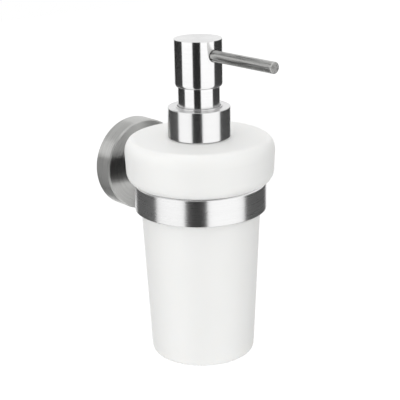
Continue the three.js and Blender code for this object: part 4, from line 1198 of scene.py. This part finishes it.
# %% Lamps
def lamp(name, place, aim, size, power):
    """A square soft lamp at a place, in metres, facing a point."""
    light = bpy.data.lights.new(name, "AREA")
    light.size = size
    light.energy = power
    made = in_scene(name, light)
    made.location = place
    made.rotation_euler = (Vector(aim) - Vector(place)).to_track_quat("-Z", "Y").to_euler()
    made.visible_glossy = False
    print(name, "gives", power, "W")


middle = (0, AXIS_Y * MM, -0.02)
lamp("key_front_left", (-1.9, -1.1, 0.3), middle, 0.9, 6)
lamp("soft_light_above", (-0.3, -0.1, 1.7), middle, 0.9, 4.6)

# %% [markdown]
# ## Floor
# The dispenser hangs on a wall, so its floor is far below it: a plain pale plane, which keeps a soft shadow.

# %% Floor
FLOOR_Z = -1.0
REACH = 6.0
corners = [(x * REACH, y * REACH, FLOOR_Z) for x, y in ((-1, -1), (1, -1), (1, 1), (-1, 1))]
floor_mesh = new_mesh("floor", corners, [(0, 1, 2, 3)])
floor = in_scene("floor", floor_mesh)
pale = bpy.data.materials.new("pale_floor")
tree = blank(pale)
matt = add(tree, "BsdfDiffuse", {"Color": linear("#f4f4f4")})
FLOOR_GLOW = 0.3
glow_level = add(tree, "Math", {0: is_seen(tree, "Is Glossy Ray"), 1: FLOOR_GLOW}, operation="MULTIPLY")
glow = add(tree, "Emission", {"Color": (1, 1, 1, 1), "Strength": glow_level.outputs[0]})
both = add(tree, "AddShader", {0: matt.outputs[0], 1: glow.outputs[0]})
add(tree, "OutputMaterial", {"Surface": both.outputs[0]})
floor_mesh.materials.append(pale)
print("floor at", FLOOR_Z, "m")

# %% [markdown]
# ## Camera
# The camera stands to the front left and a little above, with a long lens, as for a catalogue picture.

# %% Camera
AZIMUTH, ELEVATION = math.radians(-40.668), math.radians(18.042)
DISTANCE = 645.6
ROLL = math.radians(-1.06)
LENS = 102.62
back = np.array(
    [
        math.sin(AZIMUTH) * math.cos(ELEVATION),
        -math.cos(AZIMUTH) * math.cos(ELEVATION),
        math.sin(ELEVATION),
    ]
)
right = np.cross(-back, (0, 0, 1))
right /= np.linalg.norm(right)
up = np.cross(back, right)
target = np.array([0, AXIS_Y - 0.1, -10.8]) - 0.507 * right
rolled_right = math.cos(ROLL) * right + math.sin(ROLL) * up
rolled_up = -math.sin(ROLL) * right + math.cos(ROLL) * up
camera = in_scene("camera", bpy.data.cameras.new("camera"))
camera.data.lens = LENS
camera.data.sensor_width = 36.0
placed = np.eye(4)
placed[:3, :3] = np.stack([rolled_right, rolled_up, back], axis=1)
placed[:3, 3] = (target + DISTANCE * back) * MM
camera.matrix_world = Matrix(placed.tolist())
scene.camera = camera
scene.view_settings.view_transform = "Standard"
print(f"camera {DISTANCE:.0f} mm away, {LENS:.0f} mm lens")
